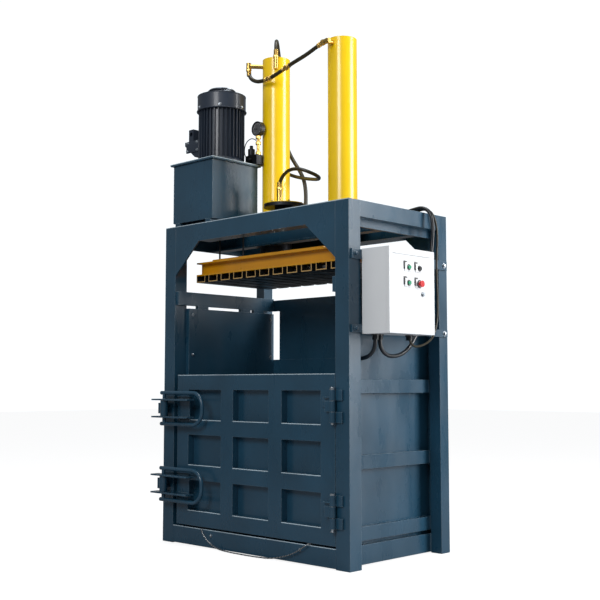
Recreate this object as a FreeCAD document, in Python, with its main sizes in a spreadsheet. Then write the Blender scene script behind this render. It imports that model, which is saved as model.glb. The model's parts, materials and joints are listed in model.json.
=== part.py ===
import FreeCAD, Part
import math
import os
import re
import Sketcher

# Vertical recycling baler, in millimetres.  +X runs to the right across the front, +Y to the rear, +Z up.
# The origin is on the floor, at the centre of the frame's footprint.

SIZES = {
    # frame
    "frame_width": 1657, "frame_depth": 940, "frame_height": 2100,
    "front_post_width": 105, "front_post_depth": 100, "rear_post_width": 80, "rear_post_depth": 85,
    "post_wall": 8, "plate": 12, "sheet": 8,
    "head_height": 118, "gusset_width": 237, "gusset_height": 215,
    "rail_height": 95, "rail_width": 60, "sill_height": 116, "sill_lift": 5, "bearer_width": 90,
    "bearer_pitch": 435, "floor_thickness": 16,
    "chamber_half": 702.5, "wall_top": 1550, "rear_wall_inset": 38, "rear_split_height": 1217,
    "rear_wall_top": 1650, "rear_slot_edge": 634, "wall_foot": 116,
    "rib_height": 80, "rib_proud": 40, "rib_one": 180, "rib_two": 588, "rib_three": 1026,
    "guide_low": 1570, "guide_high": 1660, "guide_front_inset": 8, "spacer_length": 92,
    "spacer_one": 79, "spacer_two": 478, "spacer_three": 603,
    # press cylinders and platen
    "cylinder_spacing": 612, "cylinder_y": 70, "barrel_radius": 95, "bore_radius": 75,
    "barrel_drop": 110, "barrel_foot": "=frame_height - barrel_drop",
    "barrel_rise": 1180, "barrel_top": "=frame_height + barrel_rise", "cap_thickness": 30,
    "crosshead_beam": 70, "crosshead_gap": 250,
    "crosshead_height": 140, "base_plate": 30, "hanger_thickness": 20, "stile_lap": 20,
    "flange_side": 244, "flange_thickness": 25,
    "flange_bolt_radius": 10, "flange_bolt_inset": 26, "gland_radius": 110, "gland_drop": 60,
    "gland_foot": "=barrel_foot - gland_drop",
    "rod_radius": 45, "running_gap": 0.05, "piston_height": 65, "foot_radius": 80, "foot_thickness": 22,
    "platen_width": 1318, "platen_depth": 676, "channel_foot": 1723, "channel_height": 45,
    "channel_width": 88, "channel_pitch": 123, "channel_wall": 6, "beam_height": 90, "beam_flange": 100,
    "beam_web": 8, "beam_flange_wall": 9, "cover_thickness": 10, "cover_length": 1010, "rod_pair_gap": 20,
    "trip_radius": 6, "trip_top": 2060, "trip_near": -480, "trip_far": -249,
    # door, hinges and latches
    "door_width": 1405, "door_height": 972, "door_foot": 128, "door_grid_depth": 50, "door_skin": 8,
    "door_side_gap": 4, "window_width": 320, "window_height": 194,
    "pin_radius": 9, "knuckle_radius": 18.5, "knuckle_length": 60, "knuckle_gap": 3, "hinge_forward": 25,
    "hinge_low": 322, "hinge_high": 914, "hinge_gap": 2, "leaf_length": 62, "leaf_thickness": 6,
    "latch_low": 385, "latch_high": 880, "latch_pivot_x": -750, "latch_forward": 62, "ear_spacing": 114,
    "ear_thickness": 10, "ear_depth": 66, "ear_left": -846, "ear_right": -482, "latch_foot_width": 110,
    "latch_foot_inset": 73,
    "latch_foot_height": 150, "latch_foot_thickness": 8, "sleeve_radius": 26, "bar_radius": 12.5,
    "handle_reach": 385, "handle_half_height": 102, "handle_corner": 90, "latch_pin_radius": 12,
    "catch_inset": 20.5, "catch_x": "=-frame_width / 2 + catch_inset", "catch_height": 70,
    "catch_wall": 8, "catch_stand": 52, "catch_lip": 34,
    "hook_height": 60, "hook_wall": 10,
    # power pack
    "tank_left": -773, "tank_front": -450, "tank_length": 400, "tank_depth": 405, "skid_height": 25,
    "tank_foot": "=frame_height + skid_height",
    "tank_height": 395, "tank_wall": 5, "lid_overhang": 18, "lid_thickness": 14, "skid_width": 50,
    "skid_clearance": 8,
    "motor_x": -553, "motor_y": -215, "motor_height": 380, "motor_core_radius": 140, "fin_radius": 158,
    "fin_thickness": 5, "fin_count": 36, "motor_flange_radius": 156, "motor_flange_thickness": 20,
    "shaft_radius": 24, "shaft_bore": 24.05, "end_shield": 14, "cowl_radius": 166, "cowl_wall": 3,
    "cowl_height": 98, "fan_radius": 134, "fan_hub_radius": 45, "fan_height": 50, "fan_blades": 7,
    "valve_x": -384, "valve_y": -65, "valve_length": 112, "valve_depth": 60, "valve_height": 66,
    "gauge_x": -344, "gauge_z": 2781, "gauge_radius": 50, "gauge_depth": 34, "stem_radius": 9,
    "dial_recess": 8, "needle_length": 38,
    "pump_radius": 62, "pump_length": 230, "manifold_x": -98,
    "manifold_y": -60, "manifold_side": 90, "manifold_height": 104, "cover_radius": 135, "cover_height": 22,
    "terminal_reach": 325, "terminal_foot": 86, "terminal_top": 204, "terminal_width": 110, "lug_top": 286,
    # control cabinet
    "cabinet_front_y": -370, "cabinet_width": 420, "cabinet_depth": 200, "cabinet_foot": 1325,
    "cabinet_height": 490, "cabinet_wall": 2.5, "cabinet_door_depth": 22, "bar_thickness": 12,
    "bar_low": 1333, "bar_low_height": 44, "bar_high": 1755, "bar_high_height": 56, "bar_end_gap": 14,
    "button_radius": 11, "stop_radius": 19, "button_y_left": -196, "button_y_right": -96,
    "button_z_high": 1706, "button_z_low": 1616, "button_proud": 14, "button_tail": 25, "lock_y": -61,
    "lock_z": 1558, "lock_radius": 10,
    # hoses, cables and rope
    "hose_size": 27, "conduit_size": 24, "cable_size": 14, "rope_size": 8,
}

doc = FreeCAD.newDocument("recycling_baler")
sheet = doc.addObject("Spreadsheet::Sheet", "Sizes")
for row, (alias, value) in enumerate(SIZES.items(), start=1):
    sheet.set(f"A{row}", alias)
    sheet.set(f"B{row}", str(value))
    sheet.setAlias(f"B{row}", alias)
doc.recompute()

NODES = []
X_AXIS = FreeCAD.Vector(1, 0, 0)
Y_AXIS = FreeCAD.Vector(0, 1, 0)
Z_AXIS = FreeCAD.Vector(0, 0, 1)
ORIGIN = FreeCAD.Vector(0, 0, 0)


def bind(text):
    """An expression on the sheet, from text in which sizes are named without the sheet's name."""
    def qualified(match):
        word = match.group(0)
        return "Sizes." + word if word in SIZES else word

    return re.sub(r"[a-z][a-z_]+", qualified, str(text))


def size(text):
    """The value in millimetres of an expression on the sheet."""
    value = sheet.evalExpression(bind(text))
    return float(getattr(value, "Value", value))


def node(thing, label):
    """Marks a finished sub-part, which is written under its label."""
    thing.Label = label
    NODES.append(thing)
    return thing


def place(thing, x, y, z, axis=None, degrees=0):
    if axis is not None:
        thing.Placement = FreeCAD.Placement(ORIGIN, FreeCAD.Rotation(axis, degrees))
    for letter, text in zip("xyz", (x, y, z)):
        thing.setExpression(f"Placement.Base.{letter}", bind(text))
    return thing


def block(name, x, y, z, length, width, height):
    """A box from its low corner."""
    thing = doc.addObject("Part::Box", name)
    for side, text in zip(("Length", "Width", "Height"), (length, width, height)):
        thing.setExpression(side, bind(text))
    return place(thing, x, y, z)


def centred_block(name, x, y, z, length, width, height):
    """A box whose x and y are its middle, and z its underside."""
    return block(name, f"{x} - ({length}) / 2", f"{y} - ({width}) / 2", z, length, width, height)


def rod(name, x, y, z, radius, height, along="Z"):
    """A cylinder from the centre of its low end."""
    thing = doc.addObject("Part::Cylinder", name)
    thing.setExpression("Radius", bind(radius))
    thing.setExpression("Height", bind(height))
    turns = {"X": (Y_AXIS, 90), "Y": (X_AXIS, -90), "Z": (None, 0)}
    return place(thing, x, y, z, *turns[along])


def cut(name, base, *tools):
    """The base less each tool."""
    for number, tool in enumerate(tools):
        thing = doc.addObject("Part::Cut", f"{name}_cut_{number}")
        thing.Base = base
        thing.Tool = tool
        base = thing
    return base


def fuse(name, *pieces):
    thing = doc.addObject("Part::MultiFuse", name + "_whole")
    thing.Shapes = list(pieces)
    thing.Refine = True
    return thing


def group(name, pieces):
    """Separate solids that share one node."""
    thing = doc.addObject("Part::Compound", name + "_set")
    thing.Links = list(pieces)
    return thing


def own(shape_name, shape):
    """A sub-part whose shape is made in code."""
    thing = doc.addObject("Part::Feature", shape_name)
    thing.Shape = shape
    thing.Placement = FreeCAD.Placement()
    return thing


# Sketches and pads

def new_body(name):
    return doc.addObject("PartDesign::Body", name + "_body")


def new_sketch(body, name, role):
    drawing = body.newObject("Sketcher::SketchObject", name)
    plane = [part for part in body.Origin.OriginFeatures if part.Role == role][0]
    drawing.AttachmentSupport = (plane, [""])
    drawing.MapMode = "FlatFace"
    return drawing


def outline(drawing, corners):
    """A closed outline of straight edges whose corners are bound to the sheet."""
    first = drawing.GeometryCount
    spots = [FreeCAD.Vector(size(u), size(v), 0) for u, v in corners]
    count = len(corners)
    for i in range(count):
        drawing.addGeometry(Part.LineSegment(spots[i], spots[(i + 1) % count]), False)
    for i in range(count):
        drawing.addConstraint(Sketcher.Constraint("Coincident", first + i, 2, first + (i + 1) % count, 1))
    for i, (u, v) in enumerate(corners):
        for kind, text, value in (("DistanceX", u, spots[i].x), ("DistanceY", v, spots[i].y)):
            number = drawing.addConstraint(Sketcher.Constraint(kind, first + i, 1, value))
            drawing.setExpression(f"Constraints[{number}]", bind(text))


def rectangle(drawing, u0, v0, u1, v1):
    outline(drawing, [(u0, v0), (u1, v0), (u1, v1), (u0, v1)])


def pad(body, name, drawing, length, reverse=False):
    feature = body.newObject("PartDesign::Pad", name)
    feature.Profile = drawing
    feature.setExpression("Length", bind(length))
    feature.Reversed = reverse
    drawing.Visibility = False
    doc.recompute()
    return feature


# Frame

HALF_WIDTH = "frame_width / 2"
HALF_DEPTH = "frame_depth / 2"


def box_section(name, x, y, z, length, width, height, along):
    """A rectangular steel section, open inside from end to end along one axis."""
    low = [x, y, z]
    sides = [length, width, height]
    for number, letter in enumerate("XYZ"):
        if letter == along:
            low[number] = f"{low[number]} - 1"
            sides[number] = f"{sides[number]} + 2"
        else:
            low[number] = f"{low[number]} + post_wall"
            sides[number] = f"{sides[number]} - 2 * post_wall"
    outer = block(name + "_outer", x, y, z, length, width, height)
    return cut(name, outer, block(name + "_inner", *low, *sides))


def posts():
    for side, front_x, rear_x in (("left", f"-{HALF_WIDTH}", f"-{HALF_WIDTH}"),
                                  ("right", f"{HALF_WIDTH} - front_post_width",
                                   f"{HALF_WIDTH} - rear_post_width")):
        node(box_section(f"post_front_{side}", front_x, f"-{HALF_DEPTH}", 0, "front_post_width",
                         "front_post_depth", "frame_height", "Z"), f"post_front_{side}")
        node(box_section(f"post_rear_{side}", rear_x, f"{HALF_DEPTH} - rear_post_depth", 0,
                         "rear_post_width",
                         "rear_post_depth", "frame_height", "Z"), f"post_rear_{side}")


def head(name, inner, depth, turn):
    """A channel beam across the top, its web carrying the two sloped gussets of the portal."""
    body = new_body(name)
    web = new_sketch(body, name + "_web", "XZ_Plane")
    low = "frame_height - head_height"
    outline(web, [(f"-({inner})", "frame_height"), (f"-({inner})", f"{low} - gusset_height"),
                  (f"-({inner}) + gusset_width", low), (f"{inner} - gusset_width", low),
                  (inner, f"{low} - gusset_height"), (inner, "frame_height")])
    pad(body, name + "_web_pad", web, "plate", True)
    flanges = new_sketch(body, name + "_flanges", "XZ_Plane")
    rectangle(flanges, f"-({inner})", "frame_height - plate", inner, "frame_height")
    rectangle(flanges, f"-({inner}) + gusset_width", low, f"{inner} - gusset_width", f"{low} + plate")
    pad(body, name + "_flange_pad", flanges, depth, True)
    place(body, 0, f"{turn} * {HALF_DEPTH}", 0, Z_AXIS, 0 if turn < 0 else 180)
    node(body, name)


def top_side_rails():
    """A channel on each side, its web flush with the posts' outer faces."""
    rails = []
    front = f"-{HALF_DEPTH} + front_post_depth"
    length = "frame_depth - front_post_depth - rear_post_depth"
    for side, x, hollow in (("left", f"-{HALF_WIDTH}", f"-{HALF_WIDTH} + plate"),
                            ("right", f"{HALF_WIDTH} - rail_width", f"{HALF_WIDTH} - rail_width - 1")):
        outer = block(f"rail_{side}", x, front, "frame_height - rail_height", "rail_width", length,
                      "rail_height")
        inner = block(f"rail_{side}_hollow", hollow, f"{front} - 1", "frame_height - rail_height + plate",
                      "rail_width - plate + 1", f"{length} + 2", "rail_height - 2 * plate")
        rails.append(cut(f"rail_{side}", outer, inner))
    node(group("top_side_rails", rails), "top_side_rails")


def sills():
    """The cross members between the feet of the posts, and the side members that tie them."""
    inner = f"{HALF_WIDTH} - front_post_width"
    rear_inner = f"{HALF_WIDTH} - rear_post_width"
    front_y = f"-{HALF_DEPTH} + front_post_depth"
    side_length = "frame_depth - front_post_depth - rear_post_depth"
    pieces = [
        box_section("sill_front", f"-({inner})", f"-{HALF_DEPTH}", "sill_lift", f"2 * ({inner})",
                    "front_post_depth", "sill_height - sill_lift", "X"),
        box_section("sill_rear", f"-({rear_inner})", f"{HALF_DEPTH} - rear_post_depth", "sill_lift",
                    f"2 * ({rear_inner})", "rear_post_depth", "sill_height - sill_lift", "X"),
        box_section("sill_left", "-chamber_half - rib_proud", front_y, "sill_lift", "rib_proud",
                    side_length,
                    "sill_height - sill_lift", "Y"),
        box_section("sill_right", "chamber_half", front_y, "sill_lift", "rib_proud", side_length,
                    "sill_height - sill_lift", "Y"),
    ]
    node(group("sills", pieces), "sills")


def floor():
    """Bearers that stand on the ground, and the chamber's slotted floor plate on top of them."""
    front_y = f"-{HALF_DEPTH} + front_post_depth"
    length = "frame_depth - front_post_depth - rear_post_depth"
    bearers = [box_section(f"bearer_{number + 1}", f"{number} * bearer_pitch - bearer_width / 2",
                           front_y, 0,
                           "bearer_width", length, "sill_height - floor_thickness",
                           "Y") for number in (-1, 0, 1)]
    node(group("base_bearers", bearers), "base_bearers")
    body = new_body("floor_plate")
    plate = new_sketch(body, "floor_outline", "XY_Plane")
    rectangle(plate, "-chamber_half", front_y, "chamber_half", f"{HALF_DEPTH} - rear_post_depth")
    pad(body, "floor_pad", plate, "floor_thickness")
    slot = new_sketch(body, "floor_slot", "XY_Plane")
    start = "-5 * channel_pitch"
    rectangle(slot, f"{start} + channel_pitch / 2 - 9", "-platen_depth / 2",
              f"{start} + channel_pitch / 2 + 9",
              "platen_depth / 2")
    groove = body.newObject("PartDesign::Pocket", "floor_groove")
    groove.Profile = slot
    groove.Reversed = True
    groove.setExpression("Length", bind("floor_thickness / 2"))
    place(body, 0, 0, "sill_height - floor_thickness")
    doc.recompute()
    rows = body.newObject("PartDesign::LinearPattern", "floor_grooves")
    rows.Originals = [groove]
    rows.Direction = (slot, ["H_Axis"])
    rows.setExpression("Length", bind("9 * channel_pitch"))
    rows.Occurrences = 10
    body.Tip = rows
    node(body, "floor_plate")


WALL_LENGTH = "frame_depth - front_post_depth - rear_wall_inset"


def walls():
    front_y = f"-{HALF_DEPTH} + front_post_depth"
    reach = f"{HALF_WIDTH} - front_post_width - chamber_half + stile_lap"
    for side, x, stile_x in (("left", "-chamber_half", f"-({HALF_WIDTH} - front_post_width + stile_lap)"),
                             ("right", "chamber_half - sheet", "chamber_half")):
        skin = block(f"wall_{side}_skin", x, front_y, "wall_foot", "sheet", WALL_LENGTH,
                     "wall_top - wall_foot")
        stile = block(f"wall_{side}_stile", stile_x, front_y, "wall_foot", reach, "plate",
                      "wall_top - wall_foot")
        node(fuse(f"wall_{side}", skin, stile), f"wall_{side}")
    rear_y = f"{HALF_DEPTH} - rear_wall_inset"
    half = f"{HALF_WIDTH} - rear_post_width"
    lower = block("wall_rear_lower", f"-({half})", rear_y, "sill_height", f"2 * ({half})", "sheet",
                  "rear_split_height - sill_height")
    upper = block("wall_rear_upper", "-rear_slot_edge", rear_y, "rear_split_height",
                  f"{half} + rear_slot_edge",
                  "sheet", "rear_wall_top - rear_split_height")
    bridge = block("wall_rear_bridge", "sheet - chamber_half", rear_y, "guide_low",
                   "chamber_half - sheet - rear_slot_edge", "sheet", "rear_wall_top - guide_low")
    node(group("wall_rear", [lower, upper, bridge]), "wall_rear")


def channel(name, x, y, z, length, width, hollow_x, hollow_y, hollow_length, hollow_width):
    """A rib of channel section, whose open side lies against its wall."""
    outer = block(name, x, y, z, length, width, "rib_height")
    inner = block(f"{name}_hollow", hollow_x, hollow_y, f"{z} + post_wall", hollow_length, hollow_width,
                  "rib_height - 2 * post_wall")
    return cut(name, outer, inner)


def wall_ribs():
    """Channel stiffeners that lie across the outside of each wall."""
    ribs = []
    front_y = f"-{HALF_DEPTH} + front_post_depth + plate"
    length = f"{WALL_LENGTH} - plate"
    half = f"{HALF_WIDTH} - rear_post_width"
    rear_y = f"{HALF_DEPTH} - rear_wall_inset + sheet"
    rear_proud = "rear_wall_inset - sheet"
    for level in ("rib_one", "rib_two", "rib_three"):
        foot = f"{level} - rib_height / 2"
        for side, x, hollow in (("left", "-chamber_half - rib_proud",
                                 "-chamber_half - rib_proud + post_wall"),
                                ("right", "chamber_half", "chamber_half - 1")):
            ribs.append(channel(f"{level}_{side}", x, front_y, foot, "rib_proud", length, hollow,
                                f"{front_y} - 1", "rib_proud - post_wall + 1", f"{length} + 2"))
        ribs.append(channel(f"{level}_rear", f"-({half})", rear_y, foot, f"2 * ({half})", rear_proud,
                            f"-({half}) - 1", f"{rear_y} - 1", f"2 * ({half}) + 2",
                            f"{rear_proud} - post_wall + 1"))
    node(group("wall_ribs", ribs), "wall_ribs")


def guide_rails():
    """The platen's side guides, welded inside the posts, each standing off its wall on three spacers."""
    pieces = []
    front_y = f"-{HALF_DEPTH} + guide_front_inset"
    length = "frame_depth - guide_front_inset - rear_wall_inset"
    inner = "(chamber_half - sheet)"
    width = f"{HALF_WIDTH} - front_post_width - {inner}"
    for side, x in (("left", f"-{inner} - ({width})"), ("right", inner)):
        pieces.append(block(f"guide_{side}", x, front_y, "guide_low", width, length,
                            "guide_high - guide_low"))
        for start in ("spacer_one", "spacer_two", "spacer_three"):
            pieces.append(block(f"{start}_{side}", x, f"-{HALF_DEPTH} + front_post_depth + {start}",
                                "wall_top",
                                width, "spacer_length", "guide_low - wall_top"))
    node(group("guide_rails", pieces), "guide_rails")


# Press cylinders

def cylinder_x(side):
    return f"{side} * cylinder_spacing / 2"


def crosshead():
    """Two channel beams under a thick plate, which carry both cylinders."""
    pieces = []
    half = f"{HALF_WIDTH} - rail_width - hanger_thickness"
    foot = "frame_height - crosshead_height"
    for side, x in (("left", f"-({HALF_WIDTH} - rail_width)"), ("right", half)):
        pieces.append(block(f"hanger_{side}", x, f"-{HALF_DEPTH} + front_post_depth", f"{foot} - 2",
                            "hanger_thickness", "frame_depth - front_post_depth - rear_post_depth",
                            "crosshead_height + 2"))
    for name, y, hollow_y in (("front", "cylinder_y - crosshead_gap / 2 - crosshead_beam",
                               "cylinder_y - crosshead_gap / 2 - crosshead_beam - 1"),
                              ("rear", "cylinder_y + crosshead_gap / 2",
                               "cylinder_y + crosshead_gap / 2 + plate")):
        outer = block(f"crosshead_{name}", f"-({half})", y, foot, f"2 * ({half})", "crosshead_beam",
                      "crosshead_height")
        inner = block(f"crosshead_{name}_hollow", f"-({half}) - 1", hollow_y, f"{foot} + plate",
                      f"2 * ({half}) + 2",
                      "crosshead_beam - plate + 1", "crosshead_height - 2 * plate")
        pieces.append(cut(f"crosshead_{name}", outer, inner))
    table = centred_block("crosshead_plate", 0, "cylinder_y", "frame_height - base_plate",
                          "cylinder_spacing + flange_side + 40", "crosshead_gap", "base_plate")
    holes = [rod(f"crosshead_hole_{side}", cylinder_x(side), "cylinder_y", "frame_height - base_plate - 1",
                 "barrel_radius", "base_plate + 2") for side in (-1, 1)]
    pieces.append(cut("crosshead_plate", table, *holes))
    node(group("crosshead", pieces), "crosshead")


def flange_spots(side):
    reach = "(flange_side / 2 - flange_bolt_inset)"
    for across in (-1, 1):
        for along in (-1, 1):
            yield f"{cylinder_x(side)} + {across} * {reach}", f"cylinder_y + {along} * {reach}"


def cylinders():
    """Barrels, their square flanges, the glands at their lower ends and the rams inside them."""
    flanges = []
    glands = []
    bolts = []
    foot_top = "channel_foot + channel_height + beam_height + cover_thickness"
    for side, word in ((-1, "left"), (1, "right")):
        x = cylinder_x(side)
        outer = rod(f"barrel_{word}_outer", x, "cylinder_y", "barrel_foot", "barrel_radius",
                    "barrel_top - barrel_foot")
        bore = rod(f"barrel_{word}_bore", x, "cylinder_y", "barrel_foot - 1", "bore_radius",
                   "barrel_top - barrel_foot - cap_thickness + 1")
        node(cut(f"barrel_{word}", outer, bore), f"barrel_{word}")

        square = centred_block(f"flange_{word}", x, "cylinder_y", "frame_height", "flange_side",
                               "flange_side",
                               "flange_thickness")
        hole = rod(f"flange_{word}_hole", x, "cylinder_y", "frame_height - 1", "barrel_radius",
                   "flange_thickness + 2")
        flanges.append(cut(f"flange_{word}", square, hole))
        for number, (bolt_x, bolt_y) in enumerate(flange_spots(side)):
            bolts.append(rod(f"flange_bolt_{word}_{number}", bolt_x, bolt_y,
                             "frame_height + flange_thickness",
                             "flange_bolt_radius + 5", 14))

        gland = rod(f"gland_{word}_outer", x, "cylinder_y", "gland_foot", "gland_radius",
                    "frame_height - base_plate - gland_foot")
        socket = rod(f"gland_{word}_socket", x, "cylinder_y", "barrel_foot", "barrel_radius",
                     "frame_height - base_plate - barrel_foot + 1")
        throat = rod(f"gland_{word}_throat", x, "cylinder_y", "gland_foot - 1", "rod_radius + running_gap",
                     "barrel_foot - gland_foot + 2")
        glands.append(cut(f"gland_{word}", gland, socket, throat))

        head_low = "barrel_top - cap_thickness - 5 - piston_height"
        foot = rod(f"ram_{word}_foot", x, "cylinder_y", foot_top, "foot_radius", "foot_thickness")
        shank = rod(f"ram_{word}_shank", x, "cylinder_y", foot_top, "rod_radius",
                    f"{head_low} - ({foot_top}) + 1")
        piston = rod(f"ram_{word}_piston", x, "cylinder_y", head_low, "bore_radius - running_gap",
                     "piston_height")
        node(fuse(f"ram_{word}", foot, shank, piston), f"ram_{word}")
    node(group("cylinder_flanges", flanges), "cylinder_flanges")
    node(group("cylinder_glands", glands), "cylinder_glands")
    node(group("flange_bolts", bolts), "flange_bolts")


# Platen

def platen():
    """Open channels side by side under four beams; the ram feet stand on the middle pair."""
    channels = []
    for number in range(-5, 6):
        x = f"{number} * channel_pitch"
        outer = centred_block(f"channel_{number}", x, 0, "channel_foot", "channel_width",
                              "platen_depth", "channel_height")
        inner = centred_block(f"channel_{number}_hollow", x, 0, "channel_foot + channel_wall",
                              "channel_width - 2 * channel_wall", "platen_depth + 2", "channel_height")
        channels.append(cut(f"channel_{number}", outer, inner))
    node(group("platen_channels", channels), "platen_channels")

    outer_y = "(platen_depth - beam_flange) / 2"
    pair_y = "(rod_pair_gap + beam_flange) / 2"
    beams = []
    for name, y in (("front", f"-{outer_y}"), ("middle_front", f"cylinder_y - {pair_y}"),
                    ("middle_rear", f"cylinder_y + {pair_y}"), ("rear", outer_y)):
        beams.append(platen_beam(name, y))
        beams.append(centred_block(f"beam_cover_{name}", 0, y,
                                   "channel_foot + channel_height + beam_height",
                                   "cover_length", "beam_flange - 14", "cover_thickness"))
    node(group("platen_beams", beams), "platen_beams")

    trips = [rod(f"trip_{number}", x, f"-{outer_y}",
                 "channel_foot + channel_height + beam_height + cover_thickness",
                 "trip_radius", "trip_top - channel_foot - channel_height - beam_height - cover_thickness")
             for number, x in enumerate(("trip_near", "trip_far"))]
    node(group("trip_rods", trips), "trip_rods")


def platen_beam(name, y):
    """A rolled beam along X, standing on the channels."""
    body = new_body("beam_" + name)
    section = new_sketch(body, f"beam_{name}_section", "YZ_Plane")
    flange = "beam_flange / 2"
    web = "beam_web / 2"
    low = "beam_flange_wall"
    high = "beam_height - beam_flange_wall"
    outline(section, [(f"-{flange}", 0), (flange, 0), (flange, low), (web, low), (web, high),
                      (flange, high),
                      (flange, "beam_height"), (f"-{flange}", "beam_height"), (f"-{flange}", high),
                      (f"-{web}", high), (f"-{web}", low), (f"-{flange}", low)])
    pad(body, f"beam_{name}_pad", section, "platen_width")
    return place(body, "-platen_width / 2", y, "channel_foot + channel_height")


# Door, hinges and latches

HINGE_X = "frame_width / 2 - front_post_width - hinge_gap"
HINGE_Y = "-frame_depth / 2 - hinge_forward"
DOOR_RIGHT = "frame_width / 2 - front_post_width - door_side_gap"
DOOR_LEFT = f"({DOOR_RIGHT}) - door_width"


def door():
    """A welded grid of box sections with nine pockets, closed behind by one skin."""
    body = new_body("door_grid")
    frame = new_sketch(body, "door_outline", "XZ_Plane")
    rectangle(frame, 0, 0, "door_width", "door_height")
    pad(body, "door_pad", frame, "door_grid_depth", True)
    column = new_sketch(body, "door_windows", "XZ_Plane")
    stile = "(door_width - 3 * window_width) / 4"
    rail = "(door_height - 3 * window_height) / 4"
    for number in range(3):
        low = f"{number + 1} * {rail} + {number} * window_height"
        rectangle(column, stile, low, f"{stile} + window_width", f"{low} + window_height")
    windows = body.newObject("PartDesign::Pocket", "door_pockets")
    windows.Profile = column
    windows.Reversed = False
    windows.setExpression("Length", bind("door_grid_depth + 2"))
    windows.Midplane = True
    windows.Type = "ThroughAll"
    column.Visibility = False
    doc.recompute()
    columns = body.newObject("PartDesign::LinearPattern", "door_columns")
    columns.Originals = [windows]
    columns.Direction = (column, ["H_Axis"])
    columns.setExpression("Length", bind(f"2 * ({stile} + window_width)"))
    columns.Occurrences = 3
    body.Tip = columns
    place(body, DOOR_LEFT, "-frame_depth / 2", "door_foot")
    node(body, "door_grid")
    skin = block("door_skin_plate", DOOR_LEFT, "-frame_depth / 2 + door_grid_depth", "door_foot",
                 "door_width",
                 "door_skin", "door_height")
    node(skin, "door_skin")


def hinges():
    """Two hinges: the middle knuckle of each is on the door, the outer two on the post."""
    post_side = []
    door_side = []
    pins = []
    step = "(knuckle_length + knuckle_gap)"
    for level in ("hinge_low", "hinge_high"):
        for part in (-1, 0, 1):
            foot = f"{level} + {part} * {step} - knuckle_length / 2"
            name = f"{level}_{part + 1}"
            barrel = rod(name + "_barrel", HINGE_X, HINGE_Y, foot, "knuckle_radius", "knuckle_length")
            bore = rod(name + "_bore", HINGE_X, HINGE_Y, f"{foot} - 1", "pin_radius + running_gap",
                       "knuckle_length + 2")
            if part == 0:
                x = f"{HINGE_X} - leaf_length"
                depth = "hinge_forward"
                leaf = block(name + "_leaf", x, HINGE_Y, foot, "leaf_length", depth, "knuckle_length")
                door_side.append(cut(name, fuse(name, barrel, leaf), bore))
            else:
                leaf = block(name + "_lug", HINGE_X, f"{HINGE_Y} + knuckle_radius - leaf_thickness", foot,
                             "leaf_length", "hinge_forward - knuckle_radius + leaf_thickness",
                             "knuckle_length")
                post_side.append(cut(name, fuse(name, barrel, leaf), bore))
        low = f"{level} - {step} - knuckle_length / 2"
        shank = rod(f"{level}_pin", HINGE_X, HINGE_Y, f"{low} - 12", "pin_radius",
                    f"2 * {step} + knuckle_length + 12")
        head = rod(f"{level}_pin_head", HINGE_X, HINGE_Y, f"{level} + {step} + knuckle_length / 2",
                   "knuckle_radius - 3", 10)
        pins.append(fuse(f"{level}_pin", shank, head))
    node(group("hinge_knuckles_post", post_side), "hinge_knuckles_post")
    node(group("hinge_knuckles_door", door_side), "hinge_knuckles_door")
    node(group("hinge_pins", pins), "hinge_pins")


LATCH_Y = "-frame_depth / 2 - latch_forward"


def latches():
    """Each latch is a pair of ears on the door, a swinging handle with a hook, and a catch on the post."""
    ears = []
    catches = []
    for level, word in (("latch_low", "lower"), ("latch_high", "upper")):
        ears.append(latch_ears(level, word))
        catches.append(latch_catch(level, word))
        node(latch_handle(level, word), f"latch_handle_{word}")
    node(group("latch_ears", ears), "latch_ears")
    node(group("latch_catches", catches), "latch_catches")


def latch_ears(level, word):
    pieces = []
    front = f"{LATCH_Y} - ear_depth / 2"
    for name, sign in (("low", -1), ("high", 1)):
        z = f"{level} + {sign} * ear_spacing / 2 - ear_thickness / 2"
        near = block(f"ear_{word}_{name}", "ear_left", front, z, "ear_right - ear_left", "ear_depth",
                     "ear_thickness")
        hole = rod(f"ear_{word}_{name}_hole", "latch_pivot_x", LATCH_Y, f"{z} - 1",
                   "latch_pin_radius + running_gap",
                   "ear_thickness + 2")
        pieces.append(cut(f"ear_{word}_{name}", near, hole))
    foot = block(f"ear_{word}_foot", "ear_right - latch_foot_inset - latch_foot_width",
                 "-frame_depth / 2 - latch_foot_thickness",
                 f"{level} - latch_foot_height / 2", "latch_foot_width", "latch_foot_thickness",
                 "latch_foot_height")
    web = block(f"ear_{word}_web", "ear_right - latch_foot_inset - latch_foot_width",
                f"{front} + ear_depth",
                f"{level} - ear_spacing / 2 - ear_thickness / 2", "latch_foot_width",
                "latch_forward - ear_depth / 2 - latch_foot_thickness", "ear_thickness")
    web_high = block(f"ear_{word}_web_high", "ear_right - latch_foot_inset - latch_foot_width",
                     f"{front} + ear_depth",
                     f"{level} + ear_spacing / 2 - ear_thickness / 2", "latch_foot_width",
                     "latch_forward - ear_depth / 2 - latch_foot_thickness", "ear_thickness")
    return fuse(f"ears_{word}", *pieces, foot, web, web_high)


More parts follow.
